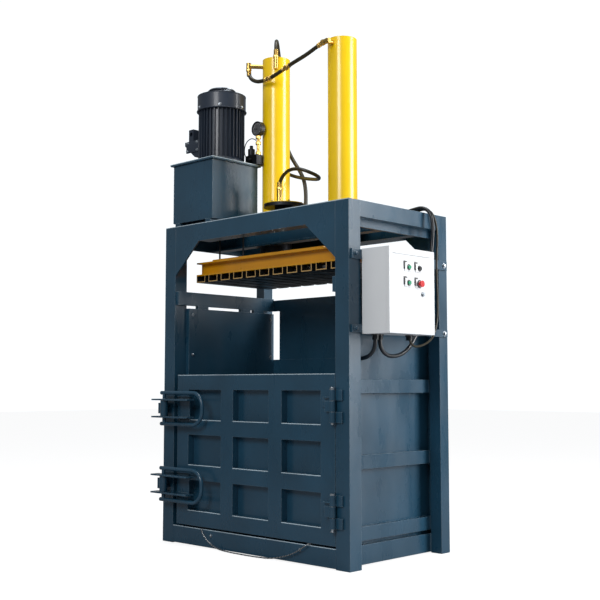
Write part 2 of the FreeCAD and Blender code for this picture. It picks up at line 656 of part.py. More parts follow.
def latch_handle(level, word):
    """A round bar bent to a U, on a sleeve that turns on the pin through the ears and carries the hook."""
    inner = "ear_spacing / 2 - ear_thickness / 2"
    sleeve = rod(f"sleeve_{word}", "latch_pivot_x", LATCH_Y, f"{level} - ({inner}) + 1", "sleeve_radius",
                 f"2 * ({inner}) - 2")
    pin = rod(f"latch_pin_{word}", "latch_pivot_x", LATCH_Y, f"{level} - handle_half_height",
              "latch_pin_radius",
              "2 * handle_half_height")
    arm = "handle_half_height"
    straight = "handle_reach - handle_corner"
    corner = size("handle_corner")
    pieces = [sleeve, pin]
    for name, sign in (("low", -1), ("high", 1)):
        pieces.append(rod(f"handle_{word}_{name}", "latch_pivot_x - 30", LATCH_Y,
                          f"{level} + {sign} * {arm}",
                          "bar_radius", f"{straight} + 30", "X"))
        bend = doc.addObject("Part::Torus", f"handle_{word}_{name}_bend")
        bend.setExpression("Radius1", bind("handle_corner"))
        bend.setExpression("Radius2", bind("bar_radius"))
        bend.Angle3 = 90
        turn = FreeCAD.Rotation(X_AXIS, 90).multiply(FreeCAD.Rotation(Z_AXIS, 0 if sign > 0 else -90))
        bend.Placement = FreeCAD.Placement(ORIGIN, turn)
        place(bend, f"latch_pivot_x + {straight}", LATCH_Y, f"{level} + {sign} * ({arm} - handle_corner)")
        pieces.append(bend)
    pieces.append(rod(f"handle_{word}_end", "latch_pivot_x + handle_reach", LATCH_Y,
                      f"{level} - {arm} + handle_corner", "bar_radius", f"2 * ({arm} - handle_corner)"))
    hook_low = f"{level} - hook_height / 2"
    reach = "(latch_pivot_x - catch_x - catch_wall - 4)"
    arm_y = f"{LATCH_Y} + 14"
    pieces.append(block(f"hook_{word}_arm", f"latch_pivot_x - {reach}", arm_y, hook_low, reach, "hook_wall",
                        "hook_height"))
    return fuse(f"handle_{word}", *pieces)


def latch_catch(level, word):
    """An angle on the post: the hook lies behind its lip while the latch is closed."""
    face = "-frame_depth / 2"
    low = f"{level} - catch_height / 2"
    web = block(f"catch_{word}_web", "catch_x - catch_wall", f"{face} - catch_stand", low, "catch_wall",
                "catch_stand",
                "catch_height")
    lip = block(f"catch_{word}_lip", "catch_x - catch_wall", f"{face} - catch_stand - catch_wall", low,
                "catch_lip", "catch_wall", "catch_height")
    return fuse(f"catch_{word}", web, lip)


# Power pack

def tank():
    foot = "tank_foot"
    outer = block("tank_outer", "tank_left", "tank_front", foot, "tank_length", "tank_depth", "tank_height")
    inner = block("tank_inner", "tank_left + tank_wall", "tank_front + tank_wall", f"{foot} + tank_wall",
                  "tank_length - 2 * tank_wall", "tank_depth - 2 * tank_wall", "tank_height")
    node(cut("oil_tank", outer, inner), "oil_tank")
    reach = "cylinder_y - flange_side / 2 - skid_clearance - tank_front"
    skids = [block(f"skid_{name}", x, "tank_front", "frame_height", "skid_width", reach,
                   "tank_foot - frame_height")
             for name, x in (("left", "tank_left + 20"),
                             ("right", "tank_left + tank_length - skid_width - 20"))]
    node(group("tank_skids", skids), "tank_skids")
    lid = block("tank_lid_plate", "tank_left - lid_overhang", "tank_front - lid_overhang",
                f"{foot} + tank_height",
                "tank_length + 2 * lid_overhang", "tank_depth + 2 * lid_overhang", "lid_thickness")
    hole = rod("tank_lid_hole", "motor_x", "motor_y", f"{foot} + tank_height - 1", "shaft_bore + 30",
               "lid_thickness + 2")
    node(cut("tank_lid", lid, hole), "tank_lid")


LID_FOOT = "tank_foot + tank_height"
LID_TOP = f"{LID_FOOT} + lid_thickness"


def motor():
    """The finned housing, its fan cowl, and the rotor shaft with the fan on its upper end."""
    body = new_body("motor_body")
    core = new_sketch(body, "motor_core", "XZ_Plane")
    top = "motor_height - end_shield"
    outline(core, [("shaft_bore", 0), ("motor_flange_radius", 0),
                   ("motor_flange_radius", "motor_flange_thickness"),
                   ("motor_core_radius", "motor_flange_thickness + 18"), ("motor_core_radius", top),
                   ("cowl_radius - cowl_wall", top), ("cowl_radius - cowl_wall", "motor_height"),
                   ("shaft_bore", "motor_height")])
    turned = body.newObject("PartDesign::Revolution", "motor_turned")
    turned.Profile = core
    turned.ReferenceAxis = (core, ["V_Axis"])
    turned.Angle = 360
    doc.recompute()
    rib = new_sketch(body, "motor_fin", "XZ_Plane")
    rectangle(rib, "motor_core_radius - 4", "motor_flange_thickness + 14", "fin_radius", f"{top} + 1")
    fin = body.newObject("PartDesign::Pad", "motor_fin_pad")
    fin.Profile = rib
    fin.Midplane = True
    fin.setExpression("Length", bind("fin_thickness"))
    doc.recompute()
    fins = body.newObject("PartDesign::PolarPattern", "motor_fins")
    fins.Originals = [fin]
    fins.Axis = (core, ["V_Axis"])
    fins.Angle = 360
    fins.setExpression("Occurrences", bind("fin_count"))
    body.Tip = fins
    place(body, "motor_x", "motor_y", LID_TOP)
    box = new_body("terminal_box")
    side = new_sketch(box, "terminal_side", "XZ_Plane")
    outline(side, [("-motor_core_radius", "terminal_foot"), ("-motor_core_radius", "terminal_top"),
                   ("-terminal_reach + 90", "terminal_top"), ("-terminal_reach + 90", "lug_top"),
                   ("-terminal_reach + 42", "lug_top"), ("-terminal_reach + 42", "terminal_top"),
                   ("-terminal_reach", "terminal_top"), ("-terminal_reach", "terminal_top - 26"),
                   ("-terminal_reach + 105", "terminal_foot")])
    pad(box, "terminal_pad", side, "terminal_width").Midplane = True
    place(box, "motor_x", "motor_y", LID_TOP)
    lug_hole = rod("lug_hole", "motor_x - terminal_reach + 66", "motor_y - terminal_width / 2 - 1",
                   f"{LID_TOP} + lug_top - 34", 15, "terminal_width + 2", "Y")
    node(fuse("motor_body", body, cut("terminal_housing", box, lug_hole)), "motor_body")

    foot = f"{LID_TOP} + {top}"
    outer = rod("cowl_outer", "motor_x", "motor_y", foot, "cowl_radius", "cowl_height + end_shield")
    inner = rod("cowl_inner", "motor_x", "motor_y", f"{foot} - 1", "cowl_radius - cowl_wall",
                "cowl_height + end_shield - cowl_wall + 1")
    slots = []
    for number in range(8):
        slot = block(f"cowl_slot_{number}", 40, -7, 0, 88, 14, 30)
        turn = FreeCAD.Rotation(Z_AXIS, 45 * number)
        slot.Placement = FreeCAD.Placement(ORIGIN, turn)
        reach = FreeCAD.Vector(40, -7, 0)
        spot = turn.multVec(reach)
        place(slot, f"motor_x + {spot.x:.4f}", f"motor_y + {spot.y:.4f}",
              f"{foot} + cowl_height + end_shield - 15")
        slots.append(slot)
    node(cut("motor_cowl", outer, inner, *slots), "motor_cowl")

    fan_foot = f"{LID_TOP} + motor_height + 20"
    shaft = rod("rotor_shaft", "motor_x", "motor_y", f"{LID_TOP} - 60", "shaft_radius",
                "motor_height + fan_height + 80")
    hub = rod("rotor_hub", "motor_x", "motor_y", fan_foot, "fan_hub_radius", "fan_height")
    blades = []
    for number in range(int(size("fan_blades"))):
        turn = FreeCAD.Rotation(Z_AXIS, 360 * number / size("fan_blades"))
        blade = block(f"fan_blade_{number}", 0, 0, 0, "fan_radius", 6, "fan_height")
        blade.Placement = FreeCAD.Placement(ORIGIN, turn)
        spot = turn.multVec(FreeCAD.Vector(0, -3, 0))
        place(blade, f"motor_x + {spot.x:.4f}", f"motor_y + {spot.y:.4f}", fan_foot)
        blades.append(blade)
    node(fuse("motor_rotor", shaft, hub, *blades), "motor_rotor")


def valves():
    """The relief valve block on the tank with the pressure gauge, and the manifold on the crosshead."""
    bodies = [centred_block("relief_valve", "valve_x", "valve_y", LID_TOP, "valve_length", "valve_depth",
                            "valve_height"),
              fuse("manifold", centred_block("manifold_block", "manifold_x", "manifold_y", "frame_height",
                                             "manifold_side", "manifold_side", "manifold_height"),
                   rod("manifold_cover", "manifold_x", "manifold_y", "frame_height + manifold_height",
                       "cover_radius", "cover_height")),
              cut("pump", rod("pump_case", "motor_x", "motor_y", f"{LID_FOOT} - pump_length", "pump_radius",
                              "pump_length"),
                  rod("pump_bell", "motor_x", "motor_y", f"{LID_FOOT} - 80", "shaft_radius + 8", 81))]
    node(group("hydraulic_blocks", bodies), "hydraulic_blocks")
    stem = rod("gauge_stem", "gauge_x", "valve_y", f"{LID_TOP} + valve_height", "stem_radius",
               f"gauge_z - gauge_radius + 4 - ({LID_TOP}) - valve_height")
    case = rod("gauge_case", "gauge_x", "valve_y - gauge_depth / 2", "gauge_z", "gauge_radius",
               "gauge_depth", "Y")
    dish = rod("gauge_dish", "gauge_x", "valve_y - gauge_depth / 2 - 1", "gauge_z", "gauge_radius - 5",
               "dial_recess + 1", "Y")
    spindle_hole = rod("gauge_hole", "gauge_x", "valve_y - gauge_depth / 2", "gauge_z", "3 + running_gap",
                       "dial_recess + 12", "Y")
    node(cut("pressure_gauge", fuse("gauge", stem, case), dish, spindle_hole), "pressure_gauge")
    spindle = rod("needle_spindle", "gauge_x", "valve_y - gauge_depth / 2 + 3", "gauge_z", 3,
                  "dial_recess + 6", "Y")
    hand = block("needle_hand", "gauge_x - needle_length", "valve_y - gauge_depth / 2 + 3", "gauge_z - 1.5",
                 "needle_length + 10", 2, 3)
    node(fuse("gauge_needle", spindle, hand), "gauge_needle")


# Control cabinet

CABINET_X = "frame_width / 2 + bar_thickness"
CABINET_FACE = f"{CABINET_X} + cabinet_depth"


def cabinet():
    shell_depth = "cabinet_depth - cabinet_door_depth"
    outer = block("cabinet_outer", CABINET_X, "cabinet_front_y", "cabinet_foot", shell_depth,
                  "cabinet_width",
                  "cabinet_height")
    inner = block("cabinet_inner", f"{CABINET_X} + cabinet_wall", "cabinet_front_y + cabinet_wall",
                  "cabinet_foot + cabinet_wall", "cabinet_depth", "cabinet_width - 2 * cabinet_wall",
                  "cabinet_height - 2 * cabinet_wall")
    node(cut("cabinet_shell", outer, inner), "cabinet_shell")

    door_x = f"{CABINET_FACE} - cabinet_door_depth + 0.5"
    depth = "cabinet_door_depth - 0.5"
    panel = block("cabinet_door_outer", door_x, "cabinet_front_y", "cabinet_foot", depth, "cabinet_width",
                  "cabinet_height")
    hollow = block("cabinet_door_hollow", f"{door_x} - 1", "cabinet_front_y + cabinet_wall",
                   "cabinet_foot + cabinet_wall", f"{depth} - cabinet_wall + 1",
                   "cabinet_width - 2 * cabinet_wall",
                   "cabinet_height - 2 * cabinet_wall")
    holes = []
    buttons = (("button_start", "button_y_left", "button_z_high", "button_radius"),
               ("button_lower", "button_y_right", "button_z_high", "button_radius"),
               ("button_raise", "button_y_left", "button_z_low", "button_radius"),
               ("button_stop", "button_y_right", "button_z_low", "button_radius"),
               ("cabinet_lock", "lock_y", "lock_z", "lock_radius"))
    for name, y, z, radius in buttons:
        holes.append(rod(name + "_hole", f"{door_x} - 2", y, z, f"{radius} + running_gap",
                         "cabinet_door_depth + 4", "X"))
        stem = rod(name + "_stem", f"{CABINET_FACE} - button_tail", y, z, radius,
                   "button_tail + button_proud", "X")
        pieces = [stem]
        if name == "button_stop":
            pieces.append(rod("stop_head", f"{CABINET_FACE} + button_proud", y, z, "stop_radius", 12, "X"))
        if name == "cabinet_lock":
            pieces.append(block("lock_tongue", f"{CABINET_FACE} - button_tail", f"{y} - 8", f"{z} - 8",
                                4, 48, 16))
        node(fuse(name, *pieces) if len(pieces) > 1 else stem, name)
    node(cut("cabinet_door", cut("cabinet_door_panel", panel, hollow), *holes), "cabinet_door")


def cabinet_bars():
    """Two flat bars across the side posts, bolted at both ends, which carry the cabinet."""
    pieces = []
    for name, z, tall in (("low", "bar_low", "bar_low_height"), ("high", "bar_high", "bar_high_height")):
        pieces.append(block(f"bar_{name}", HALF_WIDTH, f"-{HALF_DEPTH} + bar_end_gap", z, "bar_thickness",
                            "frame_depth - 2 * bar_end_gap", tall))
        for end, y in (("front", f"-{HALF_DEPTH} + 45"), ("rear", f"{HALF_DEPTH} - 45")):
            pieces.append(rod(f"bar_{name}_bolt_{end}", f"{HALF_WIDTH} + bar_thickness", y,
                              f"{z} + {tall} / 2", 10, 9, "X"))
    node(group("cabinet_bars", pieces), "cabinet_bars")


# Hoses, cables and the ejector rope: straight runs joined by tangent arcs

def tube(label, diameter, points):
    """A round tube along a route; each corner's arc is as large as its two runs allow."""
    spots = [FreeCAD.Vector(*point) for point in points]
    edges = []
    start = spots[0]
    radii = []
    for i in range(1, len(spots) - 1):
        back = spots[i - 1] - spots[i]
        ahead = spots[i + 1] - spots[i]
        turn = math.pi - back.getAngle(ahead)
        reach = 0.45 * min(back.Length, ahead.Length)
        radii.append(reach / math.tan(turn / 2))
        back.normalize()
        ahead.normalize()
        enter = spots[i] + back * reach
        leave = spots[i] + ahead * reach
        across = back + ahead
        across.normalize()
        middle = spots[i] + across * (radii[-1] / math.cos(turn / 2) - radii[-1])
        edges.append(Part.LineSegment(start, enter).toShape())
        edges.append(Part.Arc(enter, middle, leave).toShape())
        start = leave
    edges.append(Part.LineSegment(start, spots[-1]).toShape())
    path = Part.Wire(edges)
    ring = Part.Wire([Part.makeCircle(diameter / 2, spots[0], spots[1] - spots[0])])
    solid = path.makePipeShell([ring], True, True)
    ratio = solid.Volume / (math.pi * diameter ** 2 / 4 * path.Length)
    print(f"{label}: length {path.Length:.0f}, smallest radius {min(radii):.0f} = {min(radii) / diameter:.1f} dia, "
          f"largest {max(radii):.0f}, volume ratio {ratio:.4f}")
    node(own(label + "_tube", solid), label)


CROSS_HOSE = [(272, -72, 3243), (205, -73, 3222), (110, -74, 3190), (5, -75, 3168), (-105, -76, 3136),
              (-205, -77, 3108), (-290, -77, 3102), (-352, -77, 3110), (-400, -77, 3136),
              (-427, -77, 3173), (-430, -77, 3217)]
TOP_HOSE = [(-229, -11, 3272), (-231, -8, 3322), (-244, 6, 3376), (-278, 44, 3413), (-324, 96, 3416),
            (-364, 146, 3384), (-386, 180, 3330), (-396, 202, 3240), (-396, 212, 3090), (-394, 216, 2930),
            (-380, 219, 2790), (-346, 222, 2686), (-292, 226, 2596), (-236, 229, 2524), (-194, 231, 2450),
            (-177, 231, 2370), (-175, 229, 2280), (-176, 225, 2190), (-176, 224, 2130)]
LOOP_HOSE = [(-137, -66, 2330), (-136, -67, 2368), (-112, -71, 2410), (-62, -76, 2440), (-16, -80, 2449),
             (34, -82, 2446), (86, -74, 2434), (124, -42, 2414), (136, 6, 2400), (116, 54, 2394),
             (72, 92, 2396), (10, 120, 2408), (-70, 146, 2426), (-156, 172, 2448), (-244, 196, 2474),
             (-330, 204, 2508), (-394, 174, 2540), (-424, 120, 2560), (-430, 62, 2567), (-428, 6, 2567)]
POWER_CONDUIT = [(440, 226, 2119), (520, 227, 2116), (610, 230, 2115), (690, 236, 2119), (750, 242, 2129),
                 (805, 247, 2136), (852, 252, 2115), (878, 256, 2070), (882, 259, 1996), (874, 258, 1896),
                 (868, 248, 1784), (866, 226, 1668), (867, 198, 1556), (870, 158, 1452), (874, 110, 1362),
                 (877, 52, 1288), (879, -14, 1236), (880, -82, 1208), (880, -144, 1200), (880, -199, 1206),
                 (880, -239, 1230), (880, -261, 1268), (880, -262, 1305)]
CONTROL_CABLE = [(520, 254, 2112), (590, 255, 2110), (664, 258, 2110), (736, 264, 2116), (798, 276, 2130),
                 (840, 289, 2116), (859, 304, 2078), (862, 322, 2020), (860, 334, 1944), (858, 326, 1850),
                 (858, 322, 1740), (858, 328, 1620), (858, 330, 1510), (861, 318, 1422), (869, 282, 1352),
                 (882, 226, 1308), (896, 158, 1284), (908, 92, 1268), (918, 36, 1261), (925, -8, 1264),
                 (929, -42, 1284), (930, -52, 1312)]
CHAMBER_CONDUIT = [(880, -300, 1305), (879, -300, 1262), (862, -303, 1222), (828, -307, 1196),
                   (784, -312, 1186), (748, -315, 1186), (712.5, -317, 1186)]
EJECTOR_ROPE = [(-438, -404, 120), (-434, -446, 120.4), (-422, -484, 123), (-402, -496, 104),
                (-376, -496, 76),
                (-342, -494, 46), (-292, -490, 20), (-226, -494, 8), (-130, -499, 5), (-10, -503, 4.8),
                (110, -502, 5), (222, -497, 8), (312, -490, 26), (388, -488, 50), (450, -492, 78),
                (494, -496, 104),
                (518, -484, 123), (531, -446, 120.4), (536, -404, 120)]


def arm(name, x, y, z, reach_start, reach, degrees):
    """A port that stands straight out of a barrel's side, at an angle from +X."""
    thing = rod(name, x, y, z, 15, reach, "X")
    lean = FreeCAD.Rotation(Z_AXIS, degrees)
    thing.Placement = FreeCAD.Placement(ORIGIN, lean.multiply(FreeCAD.Rotation(Y_AXIS, 90)))
    spot = lean.multVec(FreeCAD.Vector(1, 0, 0))
    return place(thing, f"{x} + {spot.x:.5f} * {reach_start}", f"{y} + {spot.y:.5f} * {reach_start}", z)


def fittings():
    """Ports, elbows and glands that the hoses and cables come out of."""
    front = "cylinder_y - barrel_radius"
    left_x = f"({cylinder_x(-1)})"
    pieces = [
        fuse("port_right", rod("port_right_stem", "cylinder_spacing / 2", f"{front} - 61", 3243, 15, 61,
                               "Y"),
             rod("port_right_elbow", 272, -72, 3243, 17, 50, "X")),
        fuse("port_left", arm("port_left_arm", left_x, "cylinder_y", 3235, "barrel_radius", 96, -130.15),
             rod("port_left_elbow", -430, -77, 3217, 17, 40)),
        fuse("port_top", arm("port_top_arm", left_x, "cylinder_y", 3205, "barrel_radius", 17, -46.45),
             rod("port_top_nut", -229, -11, 3190, 16, 82)),
        rod("manifold_nipple", -137, -66, "frame_height + manifold_height + cover_height", 17,
            "2330 - frame_height - manifold_height - cover_height"),
        rod("valve_nipple", -428, "valve_y + valve_depth / 2", 2567, 12,
            "6 - valve_y - valve_depth / 2", "Y"),
        rod("crosshead_nipple", -176, 224, "frame_height", 17, "2130 - frame_height"),
        fuse("power_entry", block("power_entry_foot", 380, 207, "frame_height", 40, 38, 38),
             rod("power_gland", 420, 226, 2119, 17, 20, "X")),
        fuse("control_entry", block("control_entry_foot", 470, 246, "frame_height", 30, 18, 24),
             rod("control_gland", 500, 254, 2112, 10, 20, "X")),
        rod("cabinet_gland_power", 880, -262, 1305, 17, "cabinet_foot - 1305"),
        rod("cabinet_gland_control", 930, -52, 1312, 11, "cabinet_foot - 1312"),
        rod("cabinet_gland_chamber", 880, -300, 1305, 17, "cabinet_foot - 1305"),
        rod("wall_gland_chamber", "chamber_half", -317, 1186, 17, "712.5 - chamber_half", "X"),
    ]
    node(group("hose_fittings", pieces), "hose_fittings")


def flexible_lines():
    tube("hose_cross", size("hose_size"), CROSS_HOSE)
    tube("hose_top", size("hose_size"), TOP_HOSE)
    tube("hose_loop", size("hose_size") - 3, LOOP_HOSE)
    tube("conduit_power", size("conduit_size"), POWER_CONDUIT)
    tube("cable_control", size("cable_size"), CONTROL_CABLE)
    tube("conduit_chamber", size("conduit_size"), CHAMBER_CONDUIT)
    tube("ejector_rope", size("rope_size"), EJECTOR_ROPE)


def check_and_write():
    doc.recompute()
    for thing in doc.Objects:
        if "Invalid" in thing.State or "Error" in thing.State:
            raise SystemExit(f"{thing.Name} failed: {thing.State}")
    for thing in NODES:
        shape = thing.Shape
        if shape.isNull() or not shape.isValid() or not shape.Solids:
            raise SystemExit(f"{thing.Label} has no valid shape")
    os.makedirs("parts", exist_ok=True)
    total = 0.0
    for thing in NODES:
        thing.Shape.exportStep(f"parts/{thing.Label}.step")
        total += thing.Shape.Volume
        print(f"{thing.Label}: {len(thing.Shape.Solids)} solids, {thing.Shape.Volume / 1e6:.3f} litres")
    print(f"{len(NODES)} nodes, {total / 1e9:.4f} cubic metres of solid")


for build in (posts, lambda: head("head_front", f"{HALF_WIDTH} - front_post_width", "front_post_depth", -1),
              lambda: head("head_rear", f"{HALF_WIDTH} - rear_post_width", "rear_post_depth", 1),
              top_side_rails, sills, floor, walls, wall_ribs, guide_rails, crosshead, cylinders, platen,
              door, hinges, latches, tank, motor, valves, cabinet, cabinet_bars, fittings, flexible_lines,
              check_and_write):
    build()
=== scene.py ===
# %% [markdown]
# # Recycling baler: the looks
# The machine's plates, tubes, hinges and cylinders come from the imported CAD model. This lesson gives them
# paint, steel, brass and rubber, lays the hoses and conduits, and models the small pieces that a welded
# machine carries: weld beads, bolts, hose ends, the motor's fan grille and the buttons' bezels.

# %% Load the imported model
import json
import math

import bpy
from mathutils import Matrix, Quaternion, Vector


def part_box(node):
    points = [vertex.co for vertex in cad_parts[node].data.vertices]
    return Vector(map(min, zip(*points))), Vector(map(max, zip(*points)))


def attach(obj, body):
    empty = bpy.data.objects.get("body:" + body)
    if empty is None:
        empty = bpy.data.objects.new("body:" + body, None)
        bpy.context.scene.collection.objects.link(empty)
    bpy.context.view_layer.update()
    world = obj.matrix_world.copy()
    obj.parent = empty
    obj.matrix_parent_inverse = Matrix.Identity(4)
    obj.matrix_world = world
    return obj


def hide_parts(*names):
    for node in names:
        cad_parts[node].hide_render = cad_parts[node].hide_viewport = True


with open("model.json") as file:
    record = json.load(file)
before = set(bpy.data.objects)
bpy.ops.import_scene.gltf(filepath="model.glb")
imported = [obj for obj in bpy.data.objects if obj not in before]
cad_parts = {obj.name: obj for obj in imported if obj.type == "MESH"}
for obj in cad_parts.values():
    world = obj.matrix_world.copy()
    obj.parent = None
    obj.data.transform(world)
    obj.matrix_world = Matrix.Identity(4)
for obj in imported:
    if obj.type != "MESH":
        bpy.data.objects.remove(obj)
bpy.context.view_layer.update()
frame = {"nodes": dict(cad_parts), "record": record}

MM = 0.001
nodes = frame["nodes"]

# %% [markdown]
# ## Stage, camera and light
# Big soft sources give the paint long soft highlights. The floor is plain and pale. The camera stands to the
# front right, at chest height, and looks slightly upwards.

# %% Floor
def deselect():
    """Operators act on all that is selected, so each step starts with nothing selected."""
    if bpy.context.object and bpy.context.object.mode != "OBJECT":
        bpy.ops.object.mode_set(mode="OBJECT")
    bpy.ops.object.select_all(action="DESELECT")


def plain_material(name, colour, roughness, metallic=0.0):
    material = bpy.data.materials.new(name)
    material.use_nodes = True
    shader = material.node_tree.nodes["Principled BSDF"]
    shader.inputs["Base Color"].default_value = (*colour, 1)
    shader.inputs["Roughness"].default_value = roughness
    shader.inputs["Metallic"].default_value = metallic
    return material


deselect()
bpy.ops.mesh.primitive_plane_add(size=60, location=(0, 0, -0.002))
floor = bpy.context.object
floor.name = "studio_floor"
floor_paint = plain_material("studio_floor", (0.30, 0.30, 0.31), 0.7)
glow = floor_paint.node_tree.nodes["Principled BSDF"].inputs
glow["Emission Color"].default_value = (1, 1, 1, 1)
view_ray = floor_paint.node_tree.nodes.new("ShaderNodeLightPath")
faded = floor_paint.node_tree.nodes.new("ShaderNodeMath")
faded.operation = "MULTIPLY"
faded.inputs[1].default_value = 0.86
floor_paint.node_tree.links.new(view_ray.outputs["Is Camera Ray"], faded.inputs[0])
floor_paint.node_tree.links.new(faded.outputs["Value"], glow["Emission Strength"])
floor.data.materials.append(floor_paint)

# %% Camera
CAMERA_PLACE = (4.5855, -4.765, 1.040)
CAMERA_TURN = (math.radians(94.75), 0, math.radians(43.963))
deselect()
bpy.ops.object.camera_add(location=CAMERA_PLACE, rotation=CAMERA_TURN)
camera = bpy.context.object
camera.data.lens = 60.66
camera.data.sensor_width = 36
bpy.context.scene.camera = camera
print("camera", [round(v, 3) for v in camera.location])

# %% Lights
def softbox(name, place, target, width, height, power):
    """A large rectangular light that faces a point."""
    deselect()
    bpy.ops.object.light_add(type="AREA", location=place)
    lamp = bpy.context.object
    lamp.name = name
    lamp.data.shape = "RECTANGLE"
    lamp.data.size = width
    lamp.data.size_y = height
    lamp.data.energy = power
    lamp.rotation_euler = (Vector(target) - Vector(place)).to_track_quat("-Z", "Y").to_euler()
    return lamp


softbox("key_right", (6.0, 3.2, 3.0), (0.5, 0, 1.5), 2.4, 5.0, 520)
softbox("front", (2.0, -6.6, 4.6), (-0.1, 0, 1.4), 2.4, 2.4, 210)
softbox("top", (0.5, -0.6, 7.0), (0, 0, 1.2), 3.0, 3.0, 170)

# %% [markdown]
# The backdrop shows white, but white all round would wash out dark gloss paint. So the world lights the
# object with a grey, and only a ray that comes straight from the camera sees it white.

# %% World
bpy.context.scene.view_settings.view_transform = "Standard"
world = bpy.data.worlds.new("pale_studio")
bpy.context.scene.world = world
world.use_nodes = True
world_tree = world.node_tree
backdrop = world_tree.nodes["Background"]
backdrop.inputs["Color"].default_value = (0.93, 0.97, 1.0, 1)
seen = world_tree.nodes.new("ShaderNodeLightPath")
strength = world_tree.nodes.new("ShaderNodeMapRange")
strength.inputs["To Min"].default_value = 0.26
strength.inputs["To Max"].default_value = 1.1
world_tree.links.new(seen.outputs["Is Camera Ray"], strength.inputs["Value"])
world_tree.links.new(strength.outputs["Result"], backdrop.inputs["Strength"])

# %% [markdown]
# ## Finishes
# Enamel on a welded machine isn't one flat colour: it has a faint mottle and an orange-peel skin. Its thin
# pale edges are partly paint that has drawn back or rubbed, and partly a painted highlight. A Bevel node
# finds the edges: where its rounded normal differs from the true one, the surface is near an edge.
# Patterns read Object coordinates, because no CAD node has a UV map. The strands of the rope read the UV map
# of its curve.

# %% Node helper
def build_material(name, colour, roughness, metallic=0.0, coat=0.0):
    """A principled material, with its tree and shader ready for a pattern."""
    material = plain_material(name, colour, roughness, metallic)
    shader = material.node_tree.nodes["Principled BSDF"]
    shader.inputs["Coat Weight"].default_value = coat
    shader.inputs["Coat Roughness"].default_value = 0.12
    return material, material.node_tree, shader


def add(tree, kind, **settings):
    """A node with its sockets or properties set by name."""
    made = tree.nodes.new(kind)
    for key, value in settings.items():
        socket = made.inputs.get(key.replace("_", " "))
        if socket is not None and not hasattr(made, key):
            socket.default_value = value
        else:
            setattr(made, key, value)
    return made


def shade(colour, factor):
    return tuple(min(1.0, channel * factor) for channel in colour)


def object_noise(tree, scale, detail=3.0, roughness=0.5, stretch=(1, 1, 1)):
    """Noise in the piece's own coordinates, stretched along an axis if asked."""
    where = add(tree, "ShaderNodeTexCoord")
    mapping = add(tree, "ShaderNodeMapping")
    mapping.inputs["Scale"].default_value = stretch
    noise = add(tree, "ShaderNodeTexNoise", Scale=scale, Detail=detail, Roughness=roughness)
    tree.links.new(where.outputs["Object"], mapping.inputs["Vector"])
    tree.links.new(mapping.outputs["Vector"], noise.inputs["Vector"])
    return noise


def ramp(tree, source, low, high, dark, light):
    """Turns a grey value between low and high into a colour between dark and light."""
    made = add(tree, "ShaderNodeValToRGB")
    made.color_ramp.elements[0].position = low
    made.color_ramp.elements[1].position = high
    made.color_ramp.elements[0].color = (*dark, 1)
    made.color_ramp.elements[1].color = (*light, 1)
    tree.links.new(source, made.inputs["Fac"])
    return made


def edge_mask(tree, width):
    """White along the edges of a plate, black on its faces, with the rounded normal to shade with."""
    rounded = add(tree, "ShaderNodeBevel", Radius=width)
    rounded.samples = 4
    flat = add(tree, "ShaderNodeNewGeometry")
    dot = add(tree, "ShaderNodeVectorMath", operation="DOT_PRODUCT")
    tree.links.new(rounded.outputs["Normal"], dot.inputs[0])
    tree.links.new(flat.outputs["Normal"], dot.inputs[1])
    mask = add(tree, "ShaderNodeMapRange")
    mask.inputs["From Min"].default_value = 0.99
    mask.inputs["From Max"].default_value = 0.80
    tree.links.new(dot.outputs["Value"], mask.inputs["Value"])
    return mask, rounded


def mix_colour(tree, factor, one, two):
    made = add(tree, "ShaderNodeMix", data_type="RGBA")
    tree.links.new(factor, made.inputs["Factor"])
    first, second = [socket for socket in made.inputs if socket.type == "RGBA"]
    tree.links.new(one, first)
    second.default_value = (*two, 1)
    return next(socket for socket in made.outputs if socket.type == "RGBA")


def bump(tree, shader, height, strength, distance, normal=None):
    made = add(tree, "ShaderNodeBump", Strength=strength, Distance=distance)
    tree.links.new(height, made.inputs["Height"])
    if normal is not None:
        tree.links.new(normal, made.inputs["Normal"])
    tree.links.new(made.outputs["Normal"], shader.inputs["Normal"])


# %% Enamel, for the frame, the cylinders, the platen and the cabinet
def enamel(name, colour, roughness, coat, edge, mottle=0.16, edge_width=0.0022, peel=0.05):
    material, tree, shader = build_material(name, colour, roughness, coat=coat)
    cloud = object_noise(tree, 3.2, detail=5)
    tone = ramp(tree, cloud.outputs["Fac"], 0.3, 0.7, shade(colour, 1 - mottle), shade(colour, 1 + mottle))
    # The pale edge colour, broken into patches by noise, is partly rubbed paint and partly a painted highlight.
    mask, rounded = edge_mask(tree, edge_width)
    wear_and_highlight_patches = object_noise(tree, 45, detail=4)
    patchy = add(tree, "ShaderNodeMath", operation="MULTIPLY")
    tree.links.new(mask.outputs["Result"], patchy.inputs[0])
    tree.links.new(wear_and_highlight_patches.outputs["Fac"], patchy.inputs[1])
    tree.links.new(mix_colour(tree, patchy.outputs["Value"], tone.outputs["Color"], edge),
                   shader.inputs["Base Color"])
    smear = object_noise(tree, 7, detail=6, stretch=(1, 1, 0.35))
    gloss = ramp(tree, smear.outputs["Fac"], 0.3, 0.75, (roughness * 0.75,) * 3, (roughness * 1.35,) * 3)
    tree.links.new(gloss.outputs["Color"], shader.inputs["Roughness"])
    skin = object_noise(tree, 220, detail=1)
    bump(tree, shader, skin.outputs["Fac"], peel, 0.0006, rounded.outputs["Normal"])
    return material


